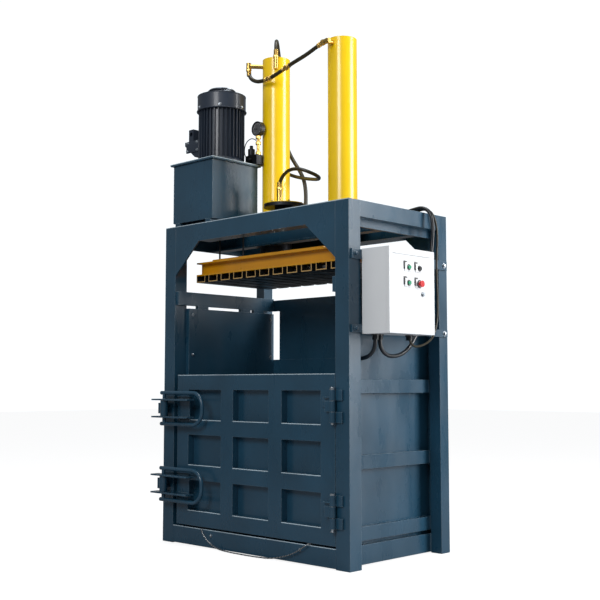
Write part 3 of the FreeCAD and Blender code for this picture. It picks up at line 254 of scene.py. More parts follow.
finish = {
    "body_paint": enamel("body_enamel", (0.012, 0.056, 0.100), 0.30, 0.32, (0.42, 0.54, 0.62),
                         edge_width=0.003),
    "yellow_paint": enamel("yellow_enamel", (0.95, 0.62, 0.0), 0.30, 0.45, (0.98, 0.80, 0.10), 0.05),
    "orange_paint": enamel("amber_enamel", (0.60, 0.27, 0.002), 0.34, 0.3, (0.95, 0.62, 0.03), 0.12),
    "cabinet_paint": enamel("cabinet_powder_coat", (0.72, 0.74, 0.76), 0.42, 0.1, (0.85, 0.86, 0.88), 0.03,
                            peel=0.16),
    "motor_paint": enamel("motor_enamel", (0.016, 0.026, 0.045), 0.42, 0.2, (0.07, 0.09, 0.12), 0.15,
                          edge_width=0.0012),
    "gauge_black": enamel("gauge_enamel", (0.012, 0.012, 0.014), 0.35, 0.2, (0.06, 0.06, 0.065), 0.1,
                          edge_width=0.0008),
}
print("enamels", sorted(finish))

# %% Channels in painted shade, with tan ends
def dark_channel_shade(name, colour, end_colour):
    """Near-black enamel, a painted shade, on a bar's sides; tan where a face looks along its length, Y."""
    material = enamel(name, colour, 0.4, 0.1, shade(colour, 2.5))
    tree, shader = material.node_tree, material.node_tree.nodes["Principled BSDF"]
    flat = add(tree, "ShaderNodeNewGeometry")
    axis = add(tree, "ShaderNodeSeparateXYZ")
    tree.links.new(flat.outputs["True Normal"], axis.inputs["Vector"])
    size = add(tree, "ShaderNodeMath", operation="ABSOLUTE")
    tree.links.new(axis.outputs["Y"], size.inputs[0])
    end = add(tree, "ShaderNodeMath", operation="GREATER_THAN")
    end.inputs[1].default_value = 0.9
    tree.links.new(size.outputs["Value"], end.inputs[0])
    paint = shader.inputs["Base Color"].links[0].from_socket
    tree.links.new(mix_colour(tree, end.outputs["Value"], paint, end_colour), shader.inputs["Base Color"])
    return material


# The near-black is a painted shade for the channels' shaded insides; the ends are tan.
finish["channel_paint"] = dark_channel_shade("channel_painted_shade", (0.010, 0.011, 0.012), (0.52, 0.33, 0.12))

# %% [markdown]
# Bare metals differ by how they were made: ground rods shine along their length, zinc plate is spangled and
# slightly yellow or blue, black oxide is nearly matt, and turned brass has fine rings.

# %% Metals
def metal(name, colour, roughness, grain, stretch, contrast=0.2, coarse=18, bump_height=0.08):
    material, tree, shader = build_material(name, colour, roughness, metallic=1.0)
    fine = object_noise(tree, grain, detail=2, stretch=stretch)
    cloud = object_noise(tree, coarse, detail=4)
    tone = ramp(tree, cloud.outputs["Fac"], 0.3, 0.7, shade(colour, 1 - contrast),
                shade(colour, 1 + contrast))
    tree.links.new(tone.outputs["Color"], shader.inputs["Base Color"])
    gloss = ramp(tree, fine.outputs["Fac"], 0.3, 0.7, (roughness * 0.7,) * 3, (roughness * 1.4,) * 3)
    tree.links.new(gloss.outputs["Color"], shader.inputs["Roughness"])
    mask, rounded = edge_mask(tree, 0.0008)
    bump(tree, shader, fine.outputs["Fac"], bump_height, 0.0004, rounded.outputs["Normal"])
    return material


finish["ground_steel"] = metal("ground_steel", (0.62, 0.63, 0.65), 0.16, 260, (1, 1, 0.05), 0.06)
finish["plated_steel"] = metal("zinc_plated_steel", (0.42, 0.46, 0.50), 0.34, 150, (1, 1, 1), 0.2)
finish["dark_steel"] = metal("black_oxide_steel", (0.035, 0.037, 0.042), 0.45, 180, (1, 1, 1), 0.3)
finish["brass"] = metal("turned_brass", (0.66, 0.44, 0.13), 0.28, 200, (1, 1, 0.3), 0.15)
print("metals added")

# %% Rubber, conduit, rope and button plastics
def polymer(name, colour, roughness, scale, strength, mottle=0.2, coat=0.0):
    material, tree, shader = build_material(name, colour, roughness, coat=coat)
    cloud = object_noise(tree, scale / 8, detail=4)
    tone = ramp(tree, cloud.outputs["Fac"], 0.3, 0.7, shade(colour, 1 - mottle), shade(colour, 1 + mottle))
    tree.links.new(tone.outputs["Color"], shader.inputs["Base Color"])
    grain = object_noise(tree, scale, detail=2)
    bump(tree, shader, grain.outputs["Fac"], strength, 0.0006)
    return material


# The hoses' rubber is tinted olive-brown: a painted reflection of the yellow cylinders near them.
finish["hose_rubber"] = polymer("hose_rubber", (0.026, 0.021, 0.009), 0.34, 320, 0.25)
finish["conduit_plastic"] = polymer("conduit_plastic", (0.007, 0.010, 0.014), 0.30, 200, 0.1)
finish["green_button"] = polymer("green_button", (0.010, 0.30, 0.14), 0.25, 90, 0.03, 0.05, 0.4)
finish["black_button"] = polymer("black_button", (0.012, 0.012, 0.014), 0.25, 90, 0.03, 0.05, 0.4)
finish["red_button"] = polymer("red_button", (0.62, 0.012, 0.016), 0.25, 90, 0.03, 0.05, 0.4)


def striped(name, dark, light, along, across, stripes, roughness, metallic, depth):
    """Slanted stripes on a curve's own UV map: u runs along it and v round it."""
    material, tree, shader = build_material(name, light, roughness, metallic)
    uv = add(tree, "ShaderNodeUVMap")
    parts = add(tree, "ShaderNodeSeparateXYZ")
    tree.links.new(uv.outputs["UV"], parts.inputs["Vector"])
    run = add(tree, "ShaderNodeMath", operation="MULTIPLY")
    run.inputs[1].default_value = along
    tree.links.new(parts.outputs["X"], run.inputs[0])
    turn = add(tree, "ShaderNodeMath", operation="MULTIPLY_ADD")
    turn.inputs[1].default_value = across
    tree.links.new(parts.outputs["Y"], turn.inputs[0])
    tree.links.new(run.outputs["Value"], turn.inputs[2])
    wave = add(tree, "ShaderNodeMath", operation="PINGPONG")
    wave.inputs[1].default_value = 0.5 / stripes
    tree.links.new(turn.outputs["Value"], wave.inputs[0])
    tall = add(tree, "ShaderNodeMath", operation="MULTIPLY")
    tall.inputs[1].default_value = 2 * stripes
    tree.links.new(wave.outputs["Value"], tall.inputs[0])
    tone = ramp(tree, tall.outputs["Value"], 0.15, 0.6, dark, light)
    tree.links.new(tone.outputs["Color"], shader.inputs["Base Color"])
    bump(tree, shader, tall.outputs["Value"], 0.7, depth)
    return material


finish["rope_steel"] = striped("rope_strands", (0.05, 0.05, 0.05), (0.42, 0.44, 0.46), 60, 1, 1, 0.35, 0.9,
                               0.0012)
print("finishes", len(finish))

# %% Give every CAD node the finish that its record names
for part in frame["record"]["subparts"]:
    mesh = nodes[part["node"]].data
    mesh.materials.clear()
    mesh.materials.append(finish[part["material_slot"]])

# %% [markdown]
# ## Hoses, conduits and the rope
# Each line keeps the length and route of its CAD tube. A NURBS curve through listed control points bends
# as a stiff hose does, with no sudden change of curvature. The order is set after the points are added,
# because Blender lowers it to fit the number of points that there are when it is set.

# %% Cord helper
def line(name, route, diameter, slot):
    """A round flexible line that replaces the CAD tube of the same name."""
    data = bpy.data.curves.new(name, "CURVE")
    data.dimensions = "3D"
    spline = data.splines.new("NURBS")
    spline.points.add(len(route) - 1)
    for point, place in zip(spline.points, route):
        point.co = (*[value * MM for value in place], 1)
    spline.order_u = 3
    spline.use_endpoint_u = True
    spline.resolution_u = 6
    data.bevel_depth = diameter * MM / 2
    data.bevel_resolution = 3
    data.use_fill_caps = True
    cord = bpy.data.objects.new(name, data)
    bpy.context.scene.collection.objects.link(cord)
    data.materials.append(finish[slot])
    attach(cord, "frame")
    return cord


def follow(cord, share):
    """The place and direction on a line, at a share of its length, read from its own spline."""
    depth = cord.data.bevel_depth
    cord.data.bevel_depth = 0
    bpy.context.view_layer.update()
    path = bpy.data.meshes.new_from_object(cord)
    cord.data.bevel_depth = depth
    spots = [vertex.co.copy() for vertex in path.vertices]
    bpy.data.meshes.remove(path)
    runs = [(b - a).length for a, b in zip(spots, spots[1:])]
    left = share * sum(runs)
    for a, b, run in zip(spots, spots[1:], runs):
        if left <= run or b is spots[-1]:
            return a.lerp(b, min(1.0, left / run)), (b - a).normalized()
        left -= run


# %% Routes
CROSS_HOSE = [(272, -72, 3243), (205, -73, 3222), (110, -74, 3190), (5, -75, 3168), (-105, -76, 3136),
              (-205, -77, 3108), (-290, -77, 3102), (-352, -77, 3110), (-400, -77, 3136),
              (-427, -77, 3173), (-430, -77, 3217)]
TOP_HOSE = [(-229, -11, 3272), (-231, -8, 3322), (-244, 6, 3376), (-278, 44, 3413), (-324, 96, 3416),
            (-364, 146, 3384), (-386, 180, 3330), (-396, 202, 3240), (-396, 212, 3090), (-394, 216, 2930),
            (-380, 219, 2790), (-346, 222, 2686), (-292, 226, 2596), (-236, 229, 2524), (-194, 231, 2450),
            (-177, 231, 2370), (-175, 229, 2280), (-176, 225, 2190), (-176, 224, 2130)]
LOOP_HOSE = [(-137, -66, 2330), (-136, -67, 2368), (-112, -71, 2410), (-62, -76, 2440), (-16, -80, 2449),
             (34, -82, 2446), (86, -74, 2434), (124, -42, 2414), (136, 6, 2400), (116, 54, 2394),
             (72, 92, 2396), (10, 120, 2408), (-70, 146, 2426), (-156, 172, 2448), (-244, 196, 2474),
             (-330, 204, 2508), (-394, 174, 2540), (-424, 120, 2560), (-430, 62, 2567), (-428, 6, 2567)]
POWER_CONDUIT = [(440, 226, 2119), (520, 227, 2116), (610, 230, 2115), (690, 236, 2119), (750, 242, 2129),
                 (805, 247, 2136), (852, 252, 2115), (878, 256, 2070), (882, 259, 1996), (874, 258, 1896),
                 (868, 248, 1784), (866, 226, 1668), (867, 198, 1556), (870, 158, 1452), (874, 110, 1362),
                 (877, 52, 1288), (879, -14, 1236), (880, -82, 1208), (880, -144, 1200), (880, -199, 1206),
                 (880, -239, 1230), (880, -261, 1268), (880, -262, 1305)]
CONTROL_CABLE = [(520, 254, 2112), (590, 255, 2110), (664, 258, 2110), (736, 264, 2116), (798, 276, 2130),
                 (840, 289, 2116), (859, 304, 2078), (862, 322, 2020), (860, 334, 1944), (858, 326, 1850),
                 (858, 322, 1740), (858, 328, 1620), (858, 330, 1510), (861, 318, 1422), (869, 282, 1352),
                 (882, 226, 1308), (896, 158, 1284), (908, 92, 1268), (918, 36, 1261), (925, -8, 1264),
                 (929, -42, 1284), (930, -52, 1312)]
CHAMBER_CONDUIT = [(880, -300, 1305), (879, -300, 1262), (862, -303, 1222), (828, -307, 1196),
                   (784, -312, 1186), (748, -315, 1186), (712.5, -317, 1186)]
EJECTOR_ROPE = [(-438, -404, 120), (-434, -446, 120.4), (-422, -484, 123), (-402, -496, 104),
                (-376, -496, 76), (-342, -494, 46), (-292, -490, 20), (-226, -494, 8), (-130, -499, 5),
                (-10, -503, 4.8), (110, -502, 5), (222, -497, 8), (312, -490, 26), (388, -488, 50),
                (450, -492, 78), (494, -496, 104), (518, -484, 123), (531, -446, 120.4), (536, -404, 120)]
HOSE, LOOP, CONDUIT, CABLE, ROPE = 27, 24, 24, 14, 8

# %% Lay them
lines = {
    "cross_hose": line("cross_hose", CROSS_HOSE, HOSE, "hose_rubber"),
    "top_hose": line("top_hose", TOP_HOSE, HOSE, "hose_rubber"),
    "loop_hose": line("loop_hose", LOOP_HOSE, LOOP, "hose_rubber"),
    "power_conduit": line("power_conduit", POWER_CONDUIT, CONDUIT, "conduit_plastic"),
    "control_cable": line("control_cable", CONTROL_CABLE, CABLE, "hose_rubber"),
    "chamber_conduit": line("chamber_conduit", CHAMBER_CONDUIT, CONDUIT, "conduit_plastic"),
    "ejector_rope": line("ejector_line", EJECTOR_ROPE, ROPE, "rope_steel"),
}
for name, node in (("cross_hose", "hose_cross"), ("top_hose", "hose_top"), ("loop_hose", "hose_loop"),
                   ("power_conduit", "conduit_power"), ("control_cable", "cable_control"),
                   ("chamber_conduit", "conduit_chamber"), ("ejector_rope", "ejector_rope")):
    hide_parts(node)
print("lines", sorted(lines))

# %% [markdown]
# ## Small pieces: how they are modelled
# Bolts, hose ends and weld beads repeat, so each is modelled once, standing on the origin and facing +Z, and
# then stamped: a copy with its own mesh is turned to face its way, moved to its spot and joined to the rest.

# %% Modelling helpers
def pick(piece, test, kind="FACE"):
    """In edit mode, selects only the faces, edges or vertices that pass a test, given their places."""
    bpy.ops.object.mode_set(mode="EDIT")
    bpy.ops.mesh.select_mode(type=kind)
    bpy.ops.mesh.select_all(action="DESELECT")
    bpy.ops.object.mode_set(mode="OBJECT")
    mesh = piece.data
    if kind == "FACE":
        for face in mesh.polygons:
            face.select = test(face.center, face.normal)
    elif kind == "EDGE":
        for edge in mesh.edges:
            edge.select = test(*(mesh.vertices[i].co for i in edge.vertices))
    else:
        for vertex in mesh.vertices:
            vertex.select = test(vertex.co)
    bpy.ops.object.mode_set(mode="EDIT")


def started(name):
    """Names the primitive that was just added and gives it an identity transform."""
    piece = bpy.context.object
    piece.name = name
    piece.data.name = name
    bpy.ops.object.transform_apply(location=True, rotation=True, scale=True)
    return piece


def drum(name, radius, height, foot=0.0, sides=32):
    """A cylinder that stands on a height of the Z axis, in millimetres."""
    deselect()
    bpy.ops.mesh.primitive_cylinder_add(vertices=sides, radius=radius * MM, depth=height * MM,
                                        location=(0, 0, (foot + height / 2) * MM))
    return started(name)


def slab(name, low, high):
    """A box between two corners, in millimetres."""
    deselect()
    low, high = Vector(low) * MM, Vector(high) * MM
    bpy.ops.mesh.primitive_cube_add(size=1, location=(low + high) / 2)
    bpy.context.object.scale = high - low
    return started(name)


def modified(piece, kind, **settings):
    """Adds a modifier with settings and applies it."""
    deselect()
    piece.select_set(True)
    bpy.context.view_layer.objects.active = piece
    modifier = piece.modifiers.new(kind.lower(), kind)
    for key, value in settings.items():
        setattr(modifier, key, value)
    bpy.ops.object.modifier_apply(modifier=modifier.name)
    return piece


def rounded(piece, width, segments=2):
    return modified(piece, "BEVEL", width=width * MM, segments=segments, limit_method="ANGLE",
                    angle_limit=math.radians(35))


def joined(name, pieces):
    """One object from several, with doubles merged and faces turned outwards."""
    deselect()
    for piece in pieces:
        piece.select_set(True)
    bpy.context.view_layer.objects.active = pieces[0]
    if len(pieces) > 1:
        bpy.ops.object.join()
    whole = bpy.context.object
    whole.name = name
    whole.data.name = name
    bpy.ops.object.mode_set(mode="EDIT")
    bpy.ops.mesh.select_all(action="SELECT")
    bpy.ops.mesh.remove_doubles(threshold=0.00001)
    bpy.ops.mesh.normals_make_consistent(inside=False)
    bpy.ops.object.mode_set(mode="OBJECT")
    return whole


def dressed(piece, slot, body="frame", material=None, angle=32):
    """Smooths, paints and mounts a finished piece."""
    deselect()
    piece.select_set(True)
    bpy.context.view_layer.objects.active = piece
    bpy.ops.object.shade_smooth_by_angle(angle=math.radians(angle))
    piece.data.materials.clear()
    piece.data.materials.append(material or finish[slot])
    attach(piece, body)
    return piece


def turned_copy(template, place, facing=(0, 0, 1), spin=0.0):
    """A copy with its own mesh, its +Z turned to face a direction, moved to a place in millimetres."""
    copy = template.copy()
    copy.data = template.data.copy()
    bpy.context.scene.collection.objects.link(copy)
    turn = Vector((0, 0, 1)).rotation_difference(Vector(facing))
    if Vector(facing).normalized().z < -0.9999:
        turn = Quaternion((1, 0, 0), math.pi)
    spun = Quaternion((0, 0, 1), spin)
    copy.data.transform(Matrix.Translation(Vector(place) * MM) @ (turn @ spun).to_matrix().to_4x4())
    return copy


def stamped(name, template, spots, slot, body="frame", material=None):
    """One piece of many copies; each spot is a place, with a facing and a spin if it has them."""
    copies = [turned_copy(template, *spot) for spot in spots]
    return dressed(joined(name, copies), slot, body, material)


def discard(*templates):
    for template in templates:
        bpy.data.meshes.remove(template.data)


# %% Bolt template
def hex_bolt(size):
    """A washer, a chamfered hexagon head and its rounded crown; size is across the head's corners."""
    washer = rounded(drum("washer", size * 0.68, size * 0.10, sides=24), size * 0.03, 1)
    head = drum("head", size / 2, size * 0.36, foot=size * 0.10, sides=6)
    pick(head, lambda centre, normal: normal.z > 0.9)
    bpy.ops.mesh.inset(thickness=size * 0.09 * MM, depth=size * 0.05 * MM)
    bpy.ops.object.mode_set(mode="OBJECT")
    return joined("hex_bolt", [washer, rounded(head, size * 0.03, 1)])


large_bolt = hex_bolt(30)
small_bolt = hex_bolt(16)
print("bolt faces", len(large_bolt.data.polygons))

# %% [markdown]
# A weld bead is a row of small overlapping waves. One long thin cylinder is cut into rings, every second ring
# is swollen, and the result is laid along a seam, half of it in the metal.

# %% Weld beads
def bead(start, end, radius, pitch=7.0):
    """A rippled bead between two points, in millimetres."""
    start, end = Vector(start), Vector(end)
    run = end - start
    rod = drum("bead", radius, run.length, sides=8)
    rings = max(4, int(run.length / pitch) * 2)
    pick(rod, lambda a, b: abs(a.z - b.z) > 1e-5, "EDGE")
    bpy.ops.mesh.subdivide(number_cuts=rings - 1)
    step = run.length * MM / rings
    pick(rod, lambda spot: round(spot.z / step) % 2 == 1, "VERT")
    bpy.ops.transform.resize(value=(1.22, 1.22, 1))
    pick(rod, lambda spot: spot.z < 1e-6 or spot.z > run.length * MM - 1e-6, "VERT")
    bpy.ops.transform.resize(value=(0.55, 0.55, 1))
    bpy.ops.object.mode_set(mode="OBJECT")
    laid = turned_copy(rod, start, run)
    discard(rod)
    return laid


def welded(name, seams, slot, body="frame", radius=4.0):
    beads = [bead(start, end, radius) for start, end in seams]
    made = dressed(joined(name, beads), slot, body, angle=60)
    print(name, len(seams), "seams", len(made.data.polygons), "faces")
    return made


# %% [markdown]
# The frame's own seams: post to head, ribs to wall and sill to post. Most of their places come from the boxes
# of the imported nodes, so a seam stays on its plates.

# %% Frame seams
def corners(node):
    """The lowest and highest corners of a node, in millimetres."""
    low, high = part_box(node)
    return Vector(low) / MM, Vector(high) / MM


post_low, post_high = corners("post_front_right")
rear_low = corners("post_rear_right")[0]
head_low, head_high = corners("head_front")
wall_high = corners("wall_right")[1]
sill_low, sill_high = corners("sills")
half_width, half_depth = post_high.x, -post_low.y
RIB_LEVELS = (180, 588, 1026)
RIB_HALF, RIB_END_HALF, RIB_OUTER = 40, 38, 743
seams = []
for side in (-1, 1):
    inner = side * post_low.x
    seams.append(((inner, -half_depth + 2, head_low.z), (inner, -half_depth + 2, post_high.z - 4)))
    for level in RIB_LEVELS:
        for edge in (level - RIB_HALF, level + RIB_HALF):
            seams.append(((side * (wall_high.x - 41), post_high.y + 14, edge),
                          (side * (wall_high.x - 41), rear_low.y - 2, edge)))
    seams.append(((inner, -half_depth + 1, sill_low.z + 2), (inner, -half_depth + 1, sill_high.z)))
    for level in reversed(RIB_LEVELS):
        for y in (post_high.y + 1, rear_low.y - 1):
            seams.append(((side * RIB_OUTER, y, level - RIB_END_HALF),
                          (side * RIB_OUTER, y, level + RIB_END_HALF)))
welded("frame_welds", seams, "body_paint", radius=3.2)

# %% [markdown]
# The edges of the door, the sill, the head and the tank's lid show as thin bright lines. Each is a painted
# highlight: a chamfered strip of pale paint that stands about half a millimetre off its plate.

# %% Painted highlight strips
def highlight_strips(name, spans, body, slot="body_paint"):
    """Strips between pairs of corners, in millimetres, in pale paint: a painted highlight."""
    strips = [rounded(slab("edge", low, high), 0.8, 1) for low, high in spans]
    return dressed(joined(name, strips), slot, body, material=highlight_paint)


# Pale paint for the strips along the edges: a painted highlight.
highlight_paint = enamel("painted_highlight_enamel", (0.46, 0.58, 0.66), 0.30, 0.4, (0.7, 0.76, 0.8), 0.2)
door_low, door_high = corners("door_grid")
EDGE = 5
door_edges = [((door_low.x + 2, door_low.y - 0.5, door_high.z - EDGE),
               (door_high.x - 2, door_low.y + 1, door_high.z))]
WINDOW, WINDOW_TALL = 320, 194
gap_x = (door_high.x - door_low.x - 3 * WINDOW) / 4
gap_z = (door_high.z - door_low.z - 3 * WINDOW_TALL) / 4
for column in range(3):
    for row in range(3):
        left = door_low.x + gap_x + column * (WINDOW + gap_x)
        foot = door_low.z + gap_z + row * (WINDOW_TALL + gap_z)
        door_edges.append(((left, door_low.y - 0.5, foot - EDGE),
                           (left + WINDOW, door_low.y + 1.5, foot + 0.5)))
highlight_strips("door_painted_highlights", door_edges, "door")
edge_front, edge_back = -half_depth - 0.4, -half_depth + 1
frame_edges = [((-half_width + 2, edge_front, head_high.z - EDGE), (half_width - 2, edge_back, head_high.z)),
               ((-post_low.x, edge_front, sill_high.z - EDGE), (post_low.x, edge_back, sill_high.z))]
highlight_strips("frame_painted_highlights", frame_edges, "frame")
lid_low, lid_high = corners("tank_lid")
edge_foot = lid_high.z - EDGE
lid_edges = [((lid_low.x + 1, lid_low.y - 0.4, edge_foot), (lid_high.x - 1, lid_low.y + 1, lid_high.z)),
             ((lid_high.x - 1, lid_low.y + 1, edge_foot), (lid_high.x + 0.4, lid_high.y - 1, lid_high.z))]
highlight_strips("lid_painted_highlights", lid_edges, "frame")
print("painted highlight strips", len(door_edges), "on the door,", len(frame_edges), "on the frame,", len(lid_edges), "on the lid")

# %% [markdown]
# ## Bolts
# The wall liners, the cabinet's bars, the cylinders' flanges and the rams' feet are all bolted. Every bolt is
# the same hexagon template at its own size.

# %% Stamp the bolts
bar_bolt = hex_bolt(25)
liner_x = wall_high.x - 49
LINER_SPOTS = ((-337, 1509), (-337, 1238), (400, 1509), (400, 1238))
CYLINDER_X, CYLINDER_Y = 306, 70
liner_spots = [((side * liner_x, y, z), (-side, 0, 0), 0.2 * n)
               for side in (-1, 1) for n, (y, z) in enumerate(LINER_SPOTS)]
stamped("liner_bolts", small_bolt, liner_spots, "plated_steel")
bar_face = half_width + 12
for name, y, slot in (("bar_bolts_front", -425, "body_paint"), ("bar_bolts_rear", 425, "plated_steel")):
    stamped(name, bar_bolt, [((bar_face, y, z), (1, 0, 0), 0.3) for z in (1355, 1783)], slot)
flange_high = corners("cylinder_flanges")[1]
NUT_OFFSET, FOOT_RING, FOOT_TOP = 96, 64, 1890
flange_spots = [((side * CYLINDER_X + across * NUT_OFFSET, CYLINDER_Y + along * NUT_OFFSET, flange_high.z),
                 (0, 0, 1), 0.4 * across)
                for side in (-1, 1) for across in (-1, 1) for along in (-1, 1)]
stamped("flange_nuts", large_bolt, flange_spots, "plated_steel")
foot_spots = [((side * CYLINDER_X + FOOT_RING * math.cos(turn),
                CYLINDER_Y + FOOT_RING * math.sin(turn), FOOT_TOP), (0, 0, 1), turn)
              for side in (-1, 1) for turn in (math.pi / 3 * n + 0.5 for n in range(6))]
stamped("ram_foot_bolts", small_bolt, foot_spots, "plated_steel", "platen")
sill_spots = [((x, -half_depth, 81), (0, -1, 0)) for x in (-342, 444)]
stamped("rope_clip_bolts", small_bolt, sill_spots, "plated_steel")
print("bolts", len(liner_spots) + 4 + len(flange_spots) + len(foot_spots) + len(sill_spots))

# %% [markdown]
# ## Hose ends
# A hydraulic hose is crimped into a ribbed brass ferrule, and a hexagon nut screws that to its port. The
# ferrule is a cylinder with rings extruded inwards; its place and direction are read from the hose's own
# spline.

# %% Ferrule template
def ferrule(radius, length):
    """A ribbed sleeve from the origin up, with a hexagon nut at its foot."""
    sleeve = drum("ferrule", radius, length, sides=28)
    pick(sleeve, lambda a, b: abs(a.z - b.z) > 1e-5, "EDGE")
    bpy.ops.mesh.subdivide(number_cuts=11)
    step = length * MM / 12
    pick(sleeve, lambda centre, normal: abs(normal.z) < 0.5 and int(centre.z / step) in (3, 5, 7, 9))
    bpy.ops.mesh.extrude_region_shrink_fatten(TRANSFORM_OT_shrink_fatten={"value": -0.0016})
    bpy.ops.object.mode_set(mode="OBJECT")
    nut = rounded(drum("nut", radius * 1.22, length * 0.34, foot=-length * 0.04, sides=6), 0.8, 2)
    return joined("ferrule_template", [rounded(sleeve, 0.6, 1), nut])


def hose_end(cord, share, inwards):
    place, heading = follow(cord, share)
    return (tuple(place / MM), tuple(heading if inwards else -heading))


sleeve = ferrule(16.5, 52)
end_spots = [hose_end(lines[name], share, share < 0.5)
             for name in ("cross_hose", "top_hose", "loop_hose") for share in (0.0, 1.0)]
stamped("hose_ends", sleeve, end_spots, "brass")
couplings = [hose_end(lines["cross_hose"], share, inwards)
             for share in (0.45, 0.67) for inwards in (True, False)]
short_sleeve = ferrule(15.5, 34)
stamped("hose_couplings", short_sleeve, couplings, "brass")
gland_nut = ferrule(20, 30)
gland_spots = [((880, -262, 1324), (0, 0, -1)), ((880, -300, 1324), (0, 0, -1)),
               ((930, -52, 1324), (0, 0, -1)), ((703, -317, 1186), (1, 0, 0)), ((419, 226, 2119), (1, 0, 0))]
stamped("conduit_glands", gland_nut, gland_spots, "conduit_plastic")
discard(sleeve, short_sleeve, gland_nut)
print("hose ends", len(end_spots) + len(couplings) + len(gland_spots))

# %% [markdown]
# ## Motor
# The fan cowl ends in a rolled rim and a shallow domed grille, held by screws. The dome is a sphere cut by a
# bisect and flattened, with every second ring of faces pushed in so that it reads as a guard.

# %% Cowl rim, grille and screws
def ring(name, place, radius, thickness, facing=(0, 0, 1), sides=64):
    """A torus whose axis faces a direction, in millimetres."""
    deselect()
    bpy.ops.mesh.primitive_torus_add(major_segments=sides, minor_segments=10, major_radius=radius * MM,
                                     minor_radius=thickness * MM)
    made = started(name)
    turned = turned_copy(made, place, facing)
    discard(made)
    return turned


cowl_low, cowl_high = corners("motor_cowl")
motor_x, motor_y = (cowl_low.x + cowl_high.x) / 2, (cowl_low.y + cowl_high.y) / 2
cowl_radius = (cowl_high.x - cowl_low.x) / 2
dressed(joined("cowl_rim", [ring("rim_low", (motor_x, motor_y, cowl_low.z + 4), cowl_radius + 2.5, 3.6),
                            ring("rim_high", (motor_x, motor_y, cowl_high.z - 4), cowl_radius - 1.5, 3.4)]),
        "motor_paint")
deselect()
bpy.ops.mesh.primitive_uv_sphere_add(segments=40, ring_count=28, radius=96 * MM)
grille = started("fan_grille")
pick(grille, lambda centre, normal: True)
bpy.ops.mesh.bisect(plane_co=(0, 0, 0.0001), plane_no=(0, 0, 1), clear_inner=True, use_fill=True)
bpy.ops.mesh.select_all(action="SELECT")
bpy.ops.transform.resize(value=(1, 1, 0.20))
pick(grille, lambda centre, normal: int(centre.xy.length / (8 * MM)) % 2 == 1 and normal.z > 0.2)
bpy.ops.mesh.inset(thickness=0.0008, depth=-0.004)
bpy.ops.object.mode_set(mode="OBJECT")
grille = turned_copy(grille, (motor_x, motor_y, cowl_high.z - 0.5))
discard(bpy.data.objects["fan_grille"])
dressed(joined("fan_guard", [grille]), "motor_paint",
        material=metal("fan_guard_wire", (0.34, 0.38, 0.44), 0.4, 150, (1, 1, 1), 0.1))
screw_ring, bolt_ring = cowl_radius + 0.2, 138
screw_spots = [((motor_x + screw_ring * math.cos(turn), motor_y + screw_ring * math.sin(turn),
                 cowl_low.z + 20), (math.cos(turn), math.sin(turn), 0))
               for turn in (math.radians(-46 + 60 * n) for n in range(6))]
stamped("cowl_screws", small_bolt, screw_spots, "plated_steel")
motor_bolts = [((motor_x + bolt_ring * math.cos(turn), motor_y + bolt_ring * math.sin(turn), lid_high.z + 12),
                (0, 0, 1), turn) for turn in (math.radians(10 + 90 * n) for n in range(4))]
stamped("motor_flange_bolts", bar_bolt, motor_bolts, "dark_steel")

# %% Terminal box lid
body_low = corners("motor_body")[0]
lid_left = body_low.x + 22
lid_plate = rounded(slab("terminal_lid", (lid_left, motor_y - 63, lid_high.z + 120),
                         (motor_x - cowl_radius - 6, motor_y - 55, lid_high.z + 200)), 3, 3)
dressed(joined("terminal_lid", [lid_plate]), "motor_paint")
lid_screws = [((x, motor_y - 63, z), (0, -1, 0)) for x in (lid_left + 14, motor_x - cowl_radius - 20)
              for z in (lid_high.z + 132, lid_high.z + 188)]
stamped("terminal_screws", small_bolt, lid_screws, "plated_steel")
print("motor dressed")

# %% [markdown]
# ## Tank, valve and gauge
# The tank is folded plate with welded corners. A brass adapter carries the gauge over the relief valve, and a
# thin pipe loops from the valve to it. The dial has tick marks alone.

# %% Tank seams and barrel seams
tank_low, tank_high = corners("oil_tank")
tank_seams = [((x, y, tank_low.z + 2), (x, y, tank_high.z)) for x in (tank_low.x + 1, tank_high.x - 1)
              for y in (tank_low.y + 1, tank_high.y - 1)]
welded("tank_welds", tank_seams, "body_paint", radius=2.6)
barrel_rings = []
for side in (-1, 1):
    barrel_rings.append(ring("barrel_weld", (side * CYLINDER_X, CYLINDER_Y, flange_high.z + 3), 96, 5))
    barrel_rings.append(ring("barrel_cap_weld", (side * CYLINDER_X, CYLINDER_Y, 3278), 93, 2.4))
dressed(joined("barrel_welds", barrel_rings), "yellow_paint")

# %% Manifold cover, adapter and valve parts
COVER_X, COVER_Y, COVER_TOP, COVER_BOLT_RING = -98, -60, 2226, 114
cover_ring = rounded(drum("cover_plate", 133, 5, sides=64), 1.5, 2)
dressed(joined("manifold_cover_ring", [turned_copy(cover_ring, (COVER_X, COVER_Y, COVER_TOP))]),
        "yellow_paint")
discard(cover_ring)
cover_bolts = [((COVER_X + COVER_BOLT_RING * math.cos(turn), COVER_Y + COVER_BOLT_RING * math.sin(turn),
                 COVER_TOP + 5), (0, 0, 1), turn)
               for turn in (math.radians(30 + 60 * n) for n in range(6))]
stamped("cover_bolts", small_bolt, cover_bolts, "dark_steel")
gauge_low, gauge_high = corners("pressure_gauge")
gauge_x, gauge_y = (gauge_low.x + gauge_high.x) / 2, (gauge_low.y + gauge_high.y) / 2
gauge_z = gauge_high.z - 50
valve_top = lid_high.z + 66
stem = rounded(drum("stem_sleeve", 10.5, gauge_z - 48 - valve_top, sides=24), 0.6, 1)
adapter = rounded(drum("stem_adapter", 19, 22, sides=6), 1, 2)
dressed(joined("gauge_adapter", [turned_copy(stem, (gauge_x, gauge_y, valve_top)),
                                 turned_copy(adapter, (gauge_x, gauge_y, valve_top)),
                                 turned_copy(adapter, (gauge_x, gauge_y, valve_top + 70)),
                                 turned_copy(adapter, (gauge_x, gauge_y, gauge_z - 70))]), "brass")
discard(stem, adapter)
coil = rounded(drum("coil", 24, 52, sides=28), 3, 2)
knob = rounded(drum("knob", 12, 26, sides=16), 2, 2)
